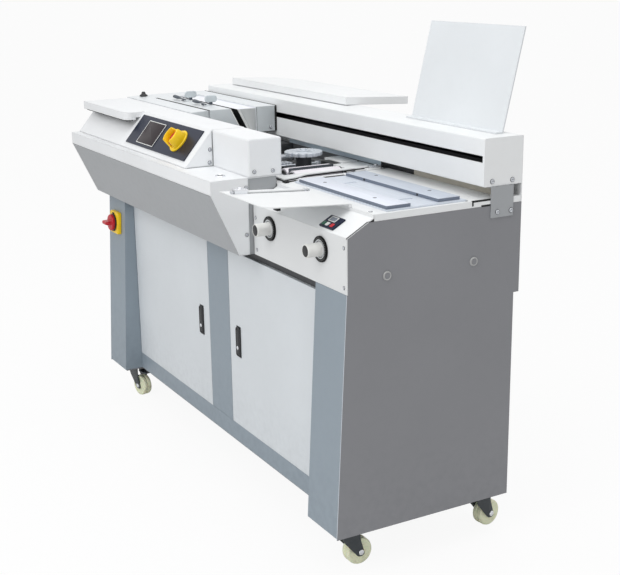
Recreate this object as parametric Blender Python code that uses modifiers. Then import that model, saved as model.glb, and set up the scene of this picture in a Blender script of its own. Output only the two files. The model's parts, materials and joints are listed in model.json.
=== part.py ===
"""Perfect binding machine: a floor-standing book binder with milling, gluing and nipping stations.

Metres, +Z up. Sizes are measured in the machine's own frame: X runs along the machine with 0 in
the middle of its length, Y runs from the front (0 is the front plane of the right fascia) to the
back, and Z is 0 on the floor. An empty moves that frame so that the part stands centred on its
origin. Run with: blender --background --python part.py
"""
import math

import bmesh
import bpy
from mathutils import Matrix
from mathutils import Vector

# The whole machine
LENGTH = 1.370
SHEET = 0.002
GAP = 0.0003
OVERRUN = 0.010
RIGHT = LENGTH / 2
LEFT = -RIGHT

# End panels, seen from the side: a step at the back, a slant at the top front, flared feet
PANEL_WALL = 0.003
BASE_Z = 0.100
PANEL_TOP = 0.775
STEP_Z = 0.576
UPPER_DEPTH = 0.435
BACK_STEP = 0.014
LOWER_DEPTH = UPPER_DEPTH - BACK_STEP
FLARE = 0.028
FASCIA_BOTTOM = 0.632
FASCIA_EDGE = 0.748
SLANT_DEPTH = 0.048
PLUG_RADIUS = 0.009
PLUG_PROUD = 0.0025
PLUG_Z = 0.660
PLUG_FRONT_Y = 0.094
PLUG_REAR_Y = 0.311
INNER_RIGHT = RIGHT - PANEL_WALL - GAP
SLANT = (PANEL_TOP - FASCIA_EDGE) / SLANT_DEPTH

# Front legs, post and rails round the two doors
LEG_WIDTH = 0.127
LEG_DEPTH = 0.095
FLOOR_WALL = 0.0025
FOOT_INSET = 0.003
DOOR_PLANE = 0.025
RAIL_TOP = 0.150
RAIL_DEPTH = 0.030
POST_WIDTH = 0.121
POST_OFFSET = 0.0145
POST_DEPTH = 0.040
DOOR_TOP = 0.602
TOP_RAIL_INSET = 0.006
TOP_RAIL_DEPTH = 0.035
LEG_INNER = RIGHT - LEG_WIDTH

# Doors and their lift handles
DOOR_GAP = 0.0015
DOOR_DEPTH = 0.018
DOOR_AXIS_INSET = 0.005
DOOR_AXIS_DEPTH = 0.003
HANDLE_WIDTH = 0.024
HANDLE_HEIGHT = 0.076
HANDLE_THICKNESS = 0.009
HANDLE_PROUD = 0.004
HANDLE_GAP = 0.002
HANDLE_PIVOT_DROP = 0.006
HANDLE_FROM_EDGE = 0.048
HANDLE_Z = 0.374

# Back panel with its step and vents
BACK_VENT_COUNT = 9
BACK_VENT_LENGTH = 0.130
BACK_VENT_HEIGHT = 0.005
BACK_VENT_PITCH = 0.014
BACK_VENT_Z = 0.380
BACK_VENT_FROM_END = 0.240

# Deck: a nipping table at the right, a lower bay for milling and gluing at the left
DECK_TOP = 0.789
DECK_LENGTH = 0.440
DECK_FRONT = 0.064
BAY_Z = 0.750
DECK_REAR = UPPER_DEPTH - SHEET - GAP
DECK_LEFT = RIGHT - DECK_LENGTH

# Right fascia with two adjusting knobs and a counter
FASCIA_WIDTH = 0.409
FASCIA_RETURN = 0.030
KNOB_Z = 0.707
LEFT_KNOB_FROM_RIGHT = 0.328
RIGHT_KNOB_FROM_RIGHT = 0.102
DIAL_RADIUS = 0.0275
DIAL_INNER = 0.0185
DIAL_THICKNESS = 0.004
KNOB_RADIUS = 0.0145
KNOB_LENGTH = 0.038
KNOB_CAP_RADIUS = 0.0125
KNOB_RECESS = 0.002
COUNTER_WIDTH = 0.056
COUNTER_HEIGHT = 0.036
COUNTER_THICKNESS = 0.003
COUNTER_FROM_RIGHT = 0.092
COUNTER_UP_SLANT = 0.025
FASCIA_LEFT = RIGHT - FASCIA_WIDTH

# Console: a white band and ledge that lean out over the doors, with a grey skirt under them
CONSOLE_LIP = 0.104
LIP_HEIGHT = 0.032
LEDGE_Z = 0.809
SKIRT_FOOT = 0.037
END_CAP_REAR = 0.011
CONSOLE_TOP = 0.895
CONSOLE_REAR = 0.076
SLOPE_FOOT = 0.081
SLOPE_HEAD = 0.009
HOOD_LENGTH = 0.190
HOOD_ROUND = 0.004
CONSOLE_END_GAP = 0.001
CONSOLE_RIGHT = FASCIA_LEFT - CONSOLE_END_GAP
HOOD_LEFT = CONSOLE_RIGHT - HOOD_LENGTH
LIP_BOTTOM = LEDGE_Z - LIP_HEIGHT
SLOPE_ANGLE = math.atan2(CONSOLE_TOP - LEDGE_Z, SLOPE_FOOT - SLOPE_HEAD)

# Hinged lid over the well at the console's left end
LID_LENGTH = 0.340
LID_THICKNESS = 0.014
LID_LIP_HEIGHT = 0.0205
LID_LIP_DEPTH = 0.028
LID_OVERHANG = 0.062
LID_CORNER = 0.022
LID_HINGE_DROP = 0.0035
LID_WALL = 0.003
WELL_WALL = 0.003
LID_RIGHT = LEFT + LID_LENGTH

# Control panel and emergency stop on the slope
CONTROL_LENGTH = 0.386
CONTROL_HEIGHT = 0.087
CONTROL_THICKNESS = 0.002
CONTROL_FROM_FOOT = 0.016
CONTROL_FROM_HOOD = 0.029
SCREEN_LENGTH = 0.108
SCREEN_HEIGHT = 0.066
SCREEN_PROUD = 0.001
SCREEN_FROM_LEFT = 0.065
STOP_FROM_RIGHT = 0.089
STOP_UP_SLOPE = 0.0455
STOP_BASE_RADIUS = 0.0285
STOP_BASE_HEIGHT = 0.005
STOP_GUARD_RADIUS = 0.0265
STOP_GUARD_INNER = 0.0225
STOP_GUARD_HEIGHT = 0.031
STOP_GUARD_MOUTH = 0.024
STOP_BORE_RADIUS = 0.012
STOP_BUTTON_RADIUS = 0.0195
STOP_BUTTON_HEIGHT = 0.011
STOP_TRAVEL = 0.005

# Main switch on the left leg
SWITCH_SIZE = 0.065
SWITCH_THICKNESS = 0.012
SWITCH_Z = 0.543
SWITCH_FROM_LEFT = 0.066
SWITCH_DISC_RADIUS = 0.024
SWITCH_DISC_THICKNESS = 0.012
SWITCH_GRIP_WIDTH = 0.012
SWITCH_GRIP_LENGTH = 0.036
SWITCH_GRIP_HEIGHT = 0.018
SWITCH_BEVEL = 0.004

# Rear beam that guides the carriage
BEAM_FRONT = 0.334
BEAM_BOTTOM = 0.815
BEAM_TOP = 0.917
SLOT_BOTTOM = 0.866
SLOT_TOP = 0.880
SLOT_LEFT_INSET = 0.005
SLOT_RIGHT_INSET = 0.007
BEAM_ROUND = 0.003
BRACKET_FRONT = 0.352
BRACKET_REAR = 0.411
BRACKET_DROP = 0.067
BRACKET_REACH = 0.085
GUIDE_FRONT = 0.374
GUIDE_WIDTH = 0.020
GUIDE_HEIGHT = 0.046
GUIDE_NECK = 0.008
GUIDE_FOOT_HEIGHT = 0.006
GUIDE_HEAD_HEIGHT = 0.014

# Paper tray and paper stand on top of the beam
TRAY_LEFT_INSET = 0.040
TRAY_LENGTH = 0.670
TRAY_LAP = 0.039
TRAY_REACH = 0.151
TRAY_HEIGHT = 0.019
TRAY_TILT = math.radians(3)
TRAY_CORNER_LENGTH = 0.080
TRAY_CORNER_DEPTH = 0.055
STAND_LENGTH = 0.340
STAND_FROM_RIGHT = 0.041
STAND_FOLD_INSET = 0.022
STAND_FOOT = 0.020
STAND_LEAN = 0.053
STAND_HEIGHT = 0.220
STAND_WALL = 0.003

# Cover table in front of the nipping table, with its side guide
TABLE_FROM_RIGHT = 0.293
TABLE_WIDTH = 0.208
TABLE_DEPTH = 0.196
TABLE_WALL = 0.002
TABLE_TILT = math.radians(3.8)
TABLE_CORNER = 0.030
TABLE_PIN_RADIUS = 0.004
RAIL_FROM_LEFT = 0.035
RAIL_WIDTH = 0.006
RAIL_HEIGHT = 0.004
RAIL_END = 0.010
GUIDE_BLOCK_LENGTH = 0.030
GUIDE_BLOCK_WIDTH = 0.016
GUIDE_BLOCK_HEIGHT = 0.010
GUIDE_BLOCK_FROM_FRONT = 0.014
TABLE_LEFT = RIGHT - TABLE_FROM_RIGHT

# Clamp carriage with its moving jaw
CARRIAGE_OVERHANG = 0.023
CARRIAGE_LENGTH = 0.468
CARRIAGE_BRIDGE = 0.0915
CARRIAGE_BOTTOM = 0.829
CARRIAGE_TOP = 0.898
BAR_FRONT = 0.080
BAR_REAR = 0.196
BAR_CHAMFER_REACH = 0.050
BAR_CHAMFER_DROP = 0.0025
JAW_RAKE = 0.036
JAW_OPENING = 0.019
BOX_FRONT = 0.272
BOX_REAR = 0.330
BOX_WALL = 0.003
SLIT_Y = 0.131
SLIT_WIDTH = 0.003
SLIT_DEPTH = 0.020
JAW_TAIL = 0.292
ARM_LENGTH = 0.280
ARM_FROM_LEFT = 0.108
ARM_HEIGHT = 0.008
SADDLE_LENGTH = 0.200
SADDLE_WALL = 0.014
SADDLE_TOP = 0.012
SADDLE_INTO_GUIDE = 0.020
CARRIAGE_KNOB_X = 0.033
CARRIAGE_KNOB_Y = 0.119
CARRIAGE_KNOB_RADIUS = 0.012
CARRIAGE_KNOB_HEIGHT = 0.0135
LEVER_Y = 0.172
LEVER_FROM_RIGHT = (0.242, 0.105)
LEVER_DISC_RADIUS = 0.010
LEVER_DISC_HEIGHT = 0.007
LEVER_ARM_LENGTH = 0.058
LEVER_ARM_TAIL = 0.022
LEVER_ARM_WIDTH = 0.011
LEVER_ARM_HEIGHT = 0.008
LEVER_LIFT = 0.005
LEVER_TAB_WIDTH = 0.036
LEVER_TAB_HEIGHT = 0.019
LEVER_TAB_THICKNESS = 0.005
LEVER_TAB_ROUND = 0.009

# Milling head
CUTTER_FROM_ROLLER = 0.138
CUTTER_Y = 0.252
CUTTER_RADIUS = 0.050
CUTTER_THICKNESS = 0.010
CUTTER_TOP = 0.822
CUTTER_HUB_RADIUS = 0.016
CUTTER_HUB_HEIGHT = 0.004
CUTTER_TEETH = 16
CUTTER_GULLET = 0.005
CUTTER_GULLET_DEPTH = 0.007
SHAFT_RADIUS = 0.008
MOTOR_RADIUS = 0.055
MOTOR_HEIGHT = 0.180
MOTOR_FLANGE = 0.130
MOTOR_FLANGE_THICKNESS = 0.010
MOTOR_COLLAR_RADIUS = 0.032
MOTOR_COLLAR_TOP = 0.804
MOTOR_COLLAR_NECK = 0.020
MOTOR_FIN_COUNT = 6
MOTOR_FIN_THICKNESS = 0.006
MOTOR_FIN_DEPTH = 0.004
MOTOR_FIN_PITCH = 0.022

# Glue tank with two applicator rollers
ROLLER_RADIUS = 0.020
ROLLER_Z = 0.778
ROLLER_FRONT = 0.145
ROLLER_LENGTH = 0.127
ROLLER_FROM_STEP = 0.050
ROLLER_CLEARANCE = 0.003
TANK_WALL = 0.003
TANK_TOP = 0.785
TANK_SIDE_CLEARANCE = 0.007
TANK_RIM = 0.014
ROLLER_END_GAP = 0.0010
JOURNAL_RADIUS = 0.005
JOURNAL_REACH = 0.012
SPROCKET_RADIUS = 0.012
SPROCKET_THICKNESS = 0.005

# Nipping station: a lifting table that carries a fixed and a sliding plate
NIP_TABLE_THICKNESS = 0.003
NIP_TABLE_INSET = 0.010
NIP_TABLE_FROM_STEP = 0.045
NIP_TABLE_LENGTH = DECK_LENGTH - NIP_TABLE_INSET - NIP_TABLE_FROM_STEP
NIP_TABLE_FRONT = 0.100
NIP_TABLE_DEPTH = 0.197
NIP_POST_RADIUS = 0.008
NIP_POST_LENGTH = 0.060
NIP_POST_SPAN = 0.160
NIP_PLATE_HEIGHT = 0.007
FRONT_PLATE_SHORTER = 0.021
REAR_PLATE_SHORTER = 0.016
FRONT_PLATE_LENGTH = NIP_TABLE_LENGTH - FRONT_PLATE_SHORTER
REAR_PLATE_LENGTH = NIP_TABLE_LENGTH - REAR_PLATE_SHORTER
FRONT_PLATE_INSET = 0.016
REAR_PLATE_INSET = 0.020
FRONT_PLATE_FRONT = 0.103
FRONT_PLATE_DEPTH = 0.058
REAR_PLATE_FRONT = 0.232
REAR_PLATE_DEPTH = 0.055
NIP_TRAVEL = 0.065
NIP_KEY_WIDTH = 0.010
NIP_KEY_LENGTH = 0.030
NIP_KEY_FROM_END = 0.070

# Machinery in the cabinet
BOX_WIDTH = 0.300
BOX_HEIGHT = 0.260
BOX_DEPTH = 0.120
BOX_FROM_LEFT = 0.200
DRIVE_LENGTH = 0.170
DRIVE_RADIUS = 0.038
DRIVE_GEARBOX = 0.090
DRIVE_FROM_LEFT = 0.120
DRIVE_Y = 0.250

# Casters
CASTER_FROM_END = 0.060
CASTER_FRONT_Y = 0.035
CASTER_FROM_REAR = 0.031
WHEEL_RADIUS = 0.031
WHEEL_WIDTH = 0.026
WHEEL_GROOVE = 0.004
WHEEL_GROOVE_DEPTH = 0.0025
WHEEL_EDGE = 0.003
WHEEL_HUB_RADIUS = 0.010
WHEEL_HUB_PROUD = 0.0007
WHEEL_BORE = 0.0042
TRAIL = 0.022
FORK_WALL = 0.003
FORK_CLEARANCE = 0.001
FORK_TOP_Z = 0.088
FORK_HALF_TOP = 0.022
FORK_NOSE = 0.011
FORK_SLOT_TOP = 0.066
CROWN_RADIUS = 0.021
AXLE_RADIUS = 0.0039
AXLE_HEAD_RADIUS = 0.007
AXLE_HEAD = 0.003
PEDAL_CLEARANCE = 0.0008
PEDAL_REACH = 0.040
PEDAL_THICKNESS = 0.005
PEDAL_Z = 0.079
PEDAL_WIDTH = 0.026
CASTER_TURN = {
    "front_right": math.radians(0),
    "front_left": math.radians(-78),
    "rear_right": math.radians(8),
    "rear_left": math.radians(14),
}

# How finely round things are faceted
FINE = 32
MEDIUM = 24
COARSE = 16

# The frame stands centred: the cover table reaches furthest forward, the paper tray furthest back,
# the carriage furthest left and the end panel's plugs furthest right
TABLE_AXIS_Y = DECK_FRONT - TABLE_PIN_RADIUS
TABLE_SINK = (TABLE_PIN_RADIUS - TABLE_WALL) * math.sin(TABLE_TILT)
FRONT_REACH = TABLE_DEPTH * math.cos(TABLE_TILT) - TABLE_SINK - TABLE_AXIS_Y
TRAY_LEAN = TRAY_HEIGHT * math.sin(TRAY_TILT)
REAR_REACH = UPPER_DEPTH + TRAY_REACH * math.cos(TRAY_TILT) + TRAY_LEAN
CENTRE_Y = (REAR_REACH - FRONT_REACH) / 2
CENTRE_X = (PLUG_PROUD - CARRIAGE_OVERHANG) / 2


def clear_scene():
    """Remove what a new Blender file holds, and make the two collections."""
    for thing in list(bpy.data.objects):
        bpy.data.objects.remove(thing, do_unlink=True)
    collections = []
    for name in ("perfect_binding_machine", "cutters"):
        collection = bpy.data.collections.new(name)
        bpy.context.scene.collection.children.link(collection)
        collections.append(collection)
    return collections


PARTS, CUTTERS = clear_scene()
ROOT = bpy.data.objects.new("machine_frame", None)
PARTS.objects.link(ROOT)
ROOT.location = (-CENTRE_X, -CENTRE_Y, 0)


def material(name, colour, roughness, metallic=0.0):
    """Plain Principled finish in sRGB-like linear colour."""
    made = bpy.data.materials.new(name)
    made.use_nodes = True
    shader = made.node_tree.nodes["Principled BSDF"]
    shader.inputs["Base Color"].default_value = (*colour, 1.0)
    shader.inputs["Roughness"].default_value = roughness
    shader.inputs["Metallic"].default_value = metallic
    made.diffuse_color = (*colour, 1.0)
    return made


WHITE = material("white_enamel", (0.80, 0.81, 0.82), 0.40)
DOOR_GREY = material("pale_grey_enamel", (0.60, 0.64, 0.68), 0.45)
BLUE_GREY = material("blue_grey_enamel", (0.25, 0.31, 0.36), 0.45)
END_GREY = material("end_panel_grey", (0.21, 0.22, 0.23), 0.50)
SKIRT_GREY = material("skirt_grey", (0.32, 0.34, 0.35), 0.50)
DARK = material("dark_steel", (0.03, 0.03, 0.035), 0.50)
STEEL = material("brushed_steel", (0.55, 0.58, 0.62), 0.30, 1.0)
SILVER = material("clamp_silver", (0.45, 0.47, 0.48), 0.35, 0.6)
NAVY = material("navy_panel", (0.015, 0.022, 0.055), 0.30)
YELLOW = material("safety_yellow", (0.90, 0.62, 0.01), 0.35)
RED = material("safety_red", (0.55, 0.01, 0.02), 0.35)
NYLON = material("cream_nylon", (0.62, 0.66, 0.48), 0.45)
BLACK = material("black_plastic", (0.012, 0.012, 0.014), 0.45)


def link(thing, finish):
    """Put a finished object among the parts, with its material, in the machine's frame."""
    PARTS.objects.link(thing)
    thing.parent = ROOT
    thing.data.materials.clear()
    thing.data.materials.append(finish)
    return thing


def carry(parent, *names):
    """Parent moving pieces to the piece that carries them, where they stand."""
    for name in names:
        thing = bpy.data.objects[name]
        thing.parent = parent
        thing.matrix_parent_inverse = parent.matrix_basis.inverted()


def move_origin(thing, origin):
    """Move the object's origin without moving its shape."""
    origin = Vector(origin)
    thing.data.transform(Matrix.Translation(-origin))
    thing.location = origin
    return thing


def block(name, low, high):
    """Box between two corners."""
    mesh = bpy.data.meshes.new(name)
    shape = bmesh.new()
    bmesh.ops.create_cube(shape, size=1.0)
    low = Vector(low)
    high = Vector(high)
    size = high - low
    bmesh.ops.scale(shape, vec=size, verts=shape.verts)
    bmesh.ops.translate(shape, vec=(low + high) / 2, verts=shape.verts)
    shape.to_mesh(mesh)
    shape.free()
    return bpy.data.objects.new(name, mesh)


AXIS_FRAMES = {
    "X": Matrix(((0, 0, 1), (1, 0, 0), (0, 1, 0))),
    "Y": Matrix(((1, 0, 0), (0, 0, -1), (0, 1, 0))),
    "Z": Matrix.Identity(3),
}


def prism(name, outline, axis, start, end, holes=()):
    """Flat outline carried along an axis: (Y, Z) points along X, (X, Z) along Y or (X, Y) along Z."""
    curve = bpy.data.curves.new(name, "CURVE")
    curve.dimensions = "2D"
    curve.fill_mode = "BOTH"
    curve.extrude = abs(end - start) / 2
    for ring in (outline, *holes):
        spline = curve.splines.new("POLY")
        spline.points.add(len(ring) - 1)
        for point, (across, up) in zip(spline.points, ring):
            point.co = (across, up, 0, 1)
        spline.use_cyclic_u = True
    guide = bpy.data.objects.new(name, curve)
    bpy.context.scene.collection.objects.link(guide)
    bpy.context.view_layer.update()
    evaluated = guide.evaluated_get(bpy.context.evaluated_depsgraph_get())
    mesh = bpy.data.meshes.new_from_object(evaluated)
    bpy.data.objects.remove(guide, do_unlink=True)
    bpy.data.curves.remove(curve)
    shape = bmesh.new()
    shape.from_mesh(mesh)
    bmesh.ops.remove_doubles(shape, verts=shape.verts, dist=GAP / 30)
    turn = AXIS_FRAMES[axis].to_4x4()
    bmesh.ops.transform(shape, matrix=turn, verts=shape.verts)
    middle = (start + end) / 2
    along = {"X": (middle, 0, 0), "Y": (0, middle, 0), "Z": (0, 0, middle)}[axis]
    bmesh.ops.translate(shape, vec=along, verts=shape.verts)
    bmesh.ops.recalc_face_normals(shape, faces=shape.faces)
    shape.to_mesh(mesh)
    shape.free()
    mesh.name = name
    return bpy.data.objects.new(name, mesh)


def quarter(centre, radius, start, steps=4):
    """Quarter circle about a centre, from a starting angle in degrees."""
    angles = [math.radians(start + 90 * step / steps) for step in range(steps + 1)]
    return [(centre[0] + radius * math.cos(angle), centre[1] + radius * math.sin(angle))
            for angle in angles]


def rounded(width, height, radius):
    """Rectangle about the middle with rounded corners."""
    across = width / 2 - radius
    up = height / 2 - radius
    corners = (((across, -up), -90), ((across, up), 0), ((-across, up), 90), ((-across, -up), 180))
    return [point for centre, start in corners for point in quarter(centre, radius, start)]


def solidify(thing, thickness, offset=-1.0):
    """Give an open surface its wall."""
    wall = thing.modifiers.new("wall", "SOLIDIFY")
    wall.thickness = thickness
    wall.offset = offset
    wall.use_even_offset = True
    return thing


def bevel(thing, width, segments=2, angle=math.radians(40)):
    """Round the object's sharp edges."""
    rounding = thing.modifiers.new("rounding", "BEVEL")
    rounding.width = width
    rounding.segments = segments
    rounding.limit_method = "ANGLE"
    rounding.angle_limit = angle
    return thing


def strip(name, path, axis, start, end, thickness):
    """Folded sheet: an open line of points carried along an axis, with its wall on the line's right."""
    mesh = bpy.data.meshes.new(name)
    shape = bmesh.new()
    line = [shape.verts.new((across, up, 0)) for across, up in path]
    edges = [shape.edges.new(pair) for pair in zip(line, line[1:])]
    swept = bmesh.ops.extrude_edge_only(shape, edges=edges)
    far = [item for item in swept["geom"] if isinstance(item, bmesh.types.BMVert)]
    bmesh.ops.translate(shape, vec=(0, 0, end - start), verts=far)
    foot = -end if axis == "Y" else start
    bmesh.ops.translate(shape, vec=(0, 0, foot), verts=shape.verts)
    bmesh.ops.transform(shape, matrix=AXIS_FRAMES[axis].to_4x4(), verts=shape.verts)
    shape.to_mesh(mesh)
    shape.free()
    thing = bpy.data.objects.new(name, mesh)
    return solidify(thing, thickness)


def pan(name, low, high, open_side, thickness, bend=0):
    """Sheet box open on one side: a cube without that face, with its wall inside."""
    thing = block(name, low, high)
    shape = bmesh.new()
    shape.from_mesh(thing.data)
    side = Vector(open_side)
    if bend:
        edges = [edge for edge in shape.edges
                 if all(face.normal.dot(side) < 0.9 for face in edge.link_faces)]
        bmesh.ops.bevel(shape, geom=edges, offset=bend, segments=2, profile=0.5, affect="EDGES")
    gone = [face for face in shape.faces if face.normal.dot(side) > 0.9]
    bmesh.ops.delete(shape, geom=gone, context="FACES_ONLY")
    shape.to_mesh(thing.data)
    shape.free()
    return solidify(thing, thickness)


def turned(name, profile, segments):
    """Shape turned about its own Z axis: (radius, height) points from the top down."""
    mesh = bpy.data.meshes.new(name)
    shape = bmesh.new()
    line = [shape.verts.new((radius, 0, height)) for radius, height in profile]
    for pair in zip(line, line[1:]):
        shape.edges.new(pair)
    shape.to_mesh(mesh)
    shape.free()
    thing = bpy.data.objects.new(name, mesh)
    screw = thing.modifiers.new("turning", "SCREW")
    screw.steps = segments
    screw.render_steps = segments
    screw.use_merge_vertices = True
    screw.merge_threshold = GAP / 10
    screw.use_smooth_shade = True
    return thing


def frozen(thing):
    """The object's shape with its modifiers applied, so that it can be cut or joined in place."""
    bpy.context.scene.collection.objects.link(thing)
    bpy.context.view_layer.update()
    evaluated = thing.evaluated_get(bpy.context.evaluated_depsgraph_get())
    mesh = bpy.data.meshes.new_from_object(evaluated)
    name = thing.name
    bpy.data.objects.remove(thing, do_unlink=True)
    mesh.name = name
    return bpy.data.objects.new(name, mesh)


def shifted(thing, offset, turn=None):
    """Move a shape's mesh, after turning it about the origin."""
    if turn is not None:
        thing.data.transform(turn)
    thing.data.transform(Matrix.Translation(Vector(offset)))
    return thing


def boolean(target, other, operation):
    """Cut a shape from the target or join one to it, and keep the helper out of the render."""
    CUTTERS.objects.link(other)
    other.hide_render = True
    other.display_type = "WIRE"
    other.parent = ROOT
    step = target.modifiers.new(operation.lower(), "BOOLEAN")
    step.operation = operation
    step.solver = "EXACT"
    step.object = other
    return target


def cut(target, *others):
    for other in others:
        boolean(target, other, "DIFFERENCE")
    return target


def join(target, *others):
    for other in others:
        boolean(target, other, "UNION")
    return target


def settle(thing):
    """Apply a loose shape's modifiers and drop its helpers."""
    bpy.context.scene.collection.objects.link(thing)
    thing.parent = ROOT
    bpy.context.view_layer.update()
    evaluated = thing.evaluated_get(bpy.context.evaluated_depsgraph_get())
    mesh = bpy.data.meshes.new_from_object(evaluated)
    name = thing.name
    helpers = [step.object for step in thing.modifiers if step.type == "BOOLEAN"]
    bpy.data.objects.remove(thing, do_unlink=True)
    for helper in helpers:
        bpy.data.objects.remove(helper, do_unlink=True)
    mesh.name = name
    return bpy.data.objects.new(name, mesh)


def shape_of(thing):
    """Keep an object's mesh, to be shared by copies, and drop the object."""
    mesh = thing.data
    bpy.data.objects.remove(thing, do_unlink=True)
    return mesh


def rod(name, radius, low, high, axis, centre, segments=MEDIUM):
    """Closed cylinder along an axis, between two places on it."""
    mesh = bpy.data.meshes.new(name)
    shape = bmesh.new()
    bmesh.ops.create_cone(shape, cap_ends=True, segments=segments, radius1=radius, radius2=radius,
                          depth=high - low)
    turn = {"X": Matrix.Rotation(math.pi / 2, 4, "Y"), "Y": Matrix.Rotation(-math.pi / 2, 4, "X"),
            "Z": Matrix.Identity(4)}[axis]
    bmesh.ops.transform(shape, matrix=turn, verts=shape.verts)
    middle = (low + high) / 2
    a, b = centre
    place = {"X": (middle, a, b), "Y": (a, middle, b), "Z": (a, b, middle)}[axis]
    bmesh.ops.translate(shape, vec=place, verts=shape.verts)
    shape.to_mesh(mesh)
    shape.free()
    return bpy.data.objects.new(name, mesh)


def slant_z(y):
    """Height of the slanted top of the right end at a depth."""
    return FASCIA_EDGE + SLANT * y


def end_panels():
    """Grey side walls; the left one rises at the front to carry the console's ledge."""
    inset = SHEET + GAP
    drop = inset * math.hypot(1, SLANT)
    top_start = (PANEL_TOP - FASCIA_EDGE + drop) / SLANT
    shared = [
        (-FLARE, BASE_Z),
        (LOWER_DEPTH, BASE_Z),
        (LOWER_DEPTH, STEP_Z),
        (UPPER_DEPTH, STEP_Z),
        (UPPER_DEPTH, PANEL_TOP),
    ]
    shoulder = FASCIA_BOTTOM - GAP
    right_front = [
        (top_start, PANEL_TOP),
        (inset, slant_z(inset) - drop),
        (inset, shoulder),
        (0, shoulder),
    ]
    ledge_seat = LEDGE_Z - SHEET - GAP
    left_front = [
        (CONSOLE_REAR, PANEL_TOP),
        (CONSOLE_REAR, ledge_seat),
        (GAP - END_CAP_REAR, ledge_seat),
        (GAP - END_CAP_REAR, shoulder),
        (0, shoulder),
    ]
    for side, outer, front in (("right", RIGHT, right_front), ("left", LEFT, left_front)):
        inner = outer - math.copysign(PANEL_WALL, outer)
        panel = prism(side + "_end_panel", shared + front, "X", min(inner, outer), max(inner, outer))
        for y in (PLUG_FRONT_Y, PLUG_REAR_Y):
            plug_inner = outer - math.copysign(PANEL_WALL / 2, outer)
            plug_outer = outer + math.copysign(PLUG_PROUD, outer)
            low, high = sorted((plug_inner, plug_outer))
            join(panel, rod("plug", PLUG_RADIUS, low, high, "X", (y, PLUG_Z), COARSE))
        link(panel, END_GREY)


def front_legs():
    """Channels with a flared face, standing on the floor plate."""
    low = BASE_Z + FLOOR_WALL + GAP
    top = FASCIA_BOTTOM - GAP

    def face_y(z):
        return -FLARE * (FASCIA_BOTTOM - z) / (FASCIA_BOTTOM - BASE_Z)

    outline = [(face_y(low), low), (LEG_DEPTH, low), (LEG_DEPTH, top), (face_y(top), top)]
    below = low - OVERRUN
    above = top + OVERRUN
    behind = LEG_DEPTH + OVERRUN
    hollow = [
        (face_y(below) + SHEET, below),
        (behind, below),
        (behind, above),
        (face_y(above) + SHEET, above),
    ]
    for name, start in (("right_front_leg", LEG_INNER), ("left_front_leg", -INNER_RIGHT)):
        end = start + INNER_RIGHT - LEG_INNER
        leg = prism(name, outline, "X", start, end)
        cut(leg, prism("leg_hollow", hollow, "X", start + SHEET, end - SHEET))
        link(leg, BLUE_GREY)


def door_frame():
    """Bottom rail, centre post and recessed top rail round the two doors."""
    reach = LEG_INNER - GAP
    seat = BASE_Z + FLOOR_WALL + GAP
    rear = DOOR_PLANE + RAIL_DEPTH
    section = [(rear, seat), (DOOR_PLANE, seat), (DOOR_PLANE, RAIL_TOP), (rear, RAIL_TOP)]
    link(strip("bottom_rail", section, "X", -reach, reach, SHEET), BLUE_GREY)
    half = POST_WIDTH / 2
    post_rear = DOOR_PLANE + POST_DEPTH
    channel = [
        (POST_OFFSET + half, post_rear),
        (POST_OFFSET + half, DOOR_PLANE),
        (POST_OFFSET - half, DOOR_PLANE),
        (POST_OFFSET - half, post_rear),
    ]
    post_low = RAIL_TOP + GAP
    link(strip("centre_post", channel, "Z", post_low, DOOR_TOP, SHEET), BLUE_GREY)
    front = DOOR_PLANE + TOP_RAIL_INSET
    low = (-reach, front, DOOR_TOP + GAP)
    high = (reach, front + TOP_RAIL_DEPTH, FASCIA_BOTTOM - SHEET - GAP)
    link(pan("top_rail", low, high, (0, 1, 0), SHEET), DARK)


def cabinet_floor():
    """Bottom plate that the casters bolt to, with an ear under each front leg."""
    front = DOOR_PLANE + SHEET
    ear = FOOT_INSET - FLARE
    rear = LOWER_DEPTH - SHEET - GAP
    outline = [
        (-INNER_RIGHT, ear),
        (-LEG_INNER, ear),
        (-LEG_INNER, front),
        (LEG_INNER, front),
        (LEG_INNER, ear),
        (INNER_RIGHT, ear),
        (INNER_RIGHT, rear),
        (-INNER_RIGHT, rear),
    ]
    link(prism("cabinet_floor", outline, "Z", BASE_Z, BASE_Z + FLOOR_WALL), END_GREY)


def back_panel():
    """Stepped rear sheet with two banks of vents."""
    path = [
        (UPPER_DEPTH, PANEL_TOP),
        (UPPER_DEPTH, STEP_Z),
        (LOWER_DEPTH, STEP_Z),
        (LOWER_DEPTH, BASE_Z),
    ]
    panel = strip("back_panel", path, "X", -INNER_RIGHT, INNER_RIGHT, SHEET)
    for side in (-1, 1):
        middle = side * (RIGHT - BACK_VENT_FROM_END)
        for row in range(BACK_VENT_COUNT):
            z = BACK_VENT_Z + row * BACK_VENT_PITCH
            low = (middle - BACK_VENT_LENGTH / 2, LOWER_DEPTH - OVERRUN, z)
            high = (middle + BACK_VENT_LENGTH / 2, LOWER_DEPTH + OVERRUN, z + BACK_VENT_HEIGHT)
            cut(panel, block("vent", low, high))
    link(panel, END_GREY)


def plate_keys():
    """X places of the two keys that guide the front nipping plate."""
    right = RIGHT - FRONT_PLATE_INSET
    return right - FRONT_PLATE_LENGTH + NIP_KEY_FROM_END, right - NIP_KEY_FROM_END


def post_places():
    """X and Y places of the two posts that carry the nipping table."""
    middle = RIGHT - NIP_TABLE_INSET - NIP_TABLE_LENGTH / 2
    y = (FRONT_PLATE_FRONT + FRONT_PLATE_DEPTH + REAR_PLATE_FRONT) / 2
    return [(middle - NIP_POST_SPAN / 2, y), (middle + NIP_POST_SPAN / 2, y)]


def cutter_x():
    return DECK_LEFT - ROLLER_FROM_STEP - CUTTER_FROM_ROLLER


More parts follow.
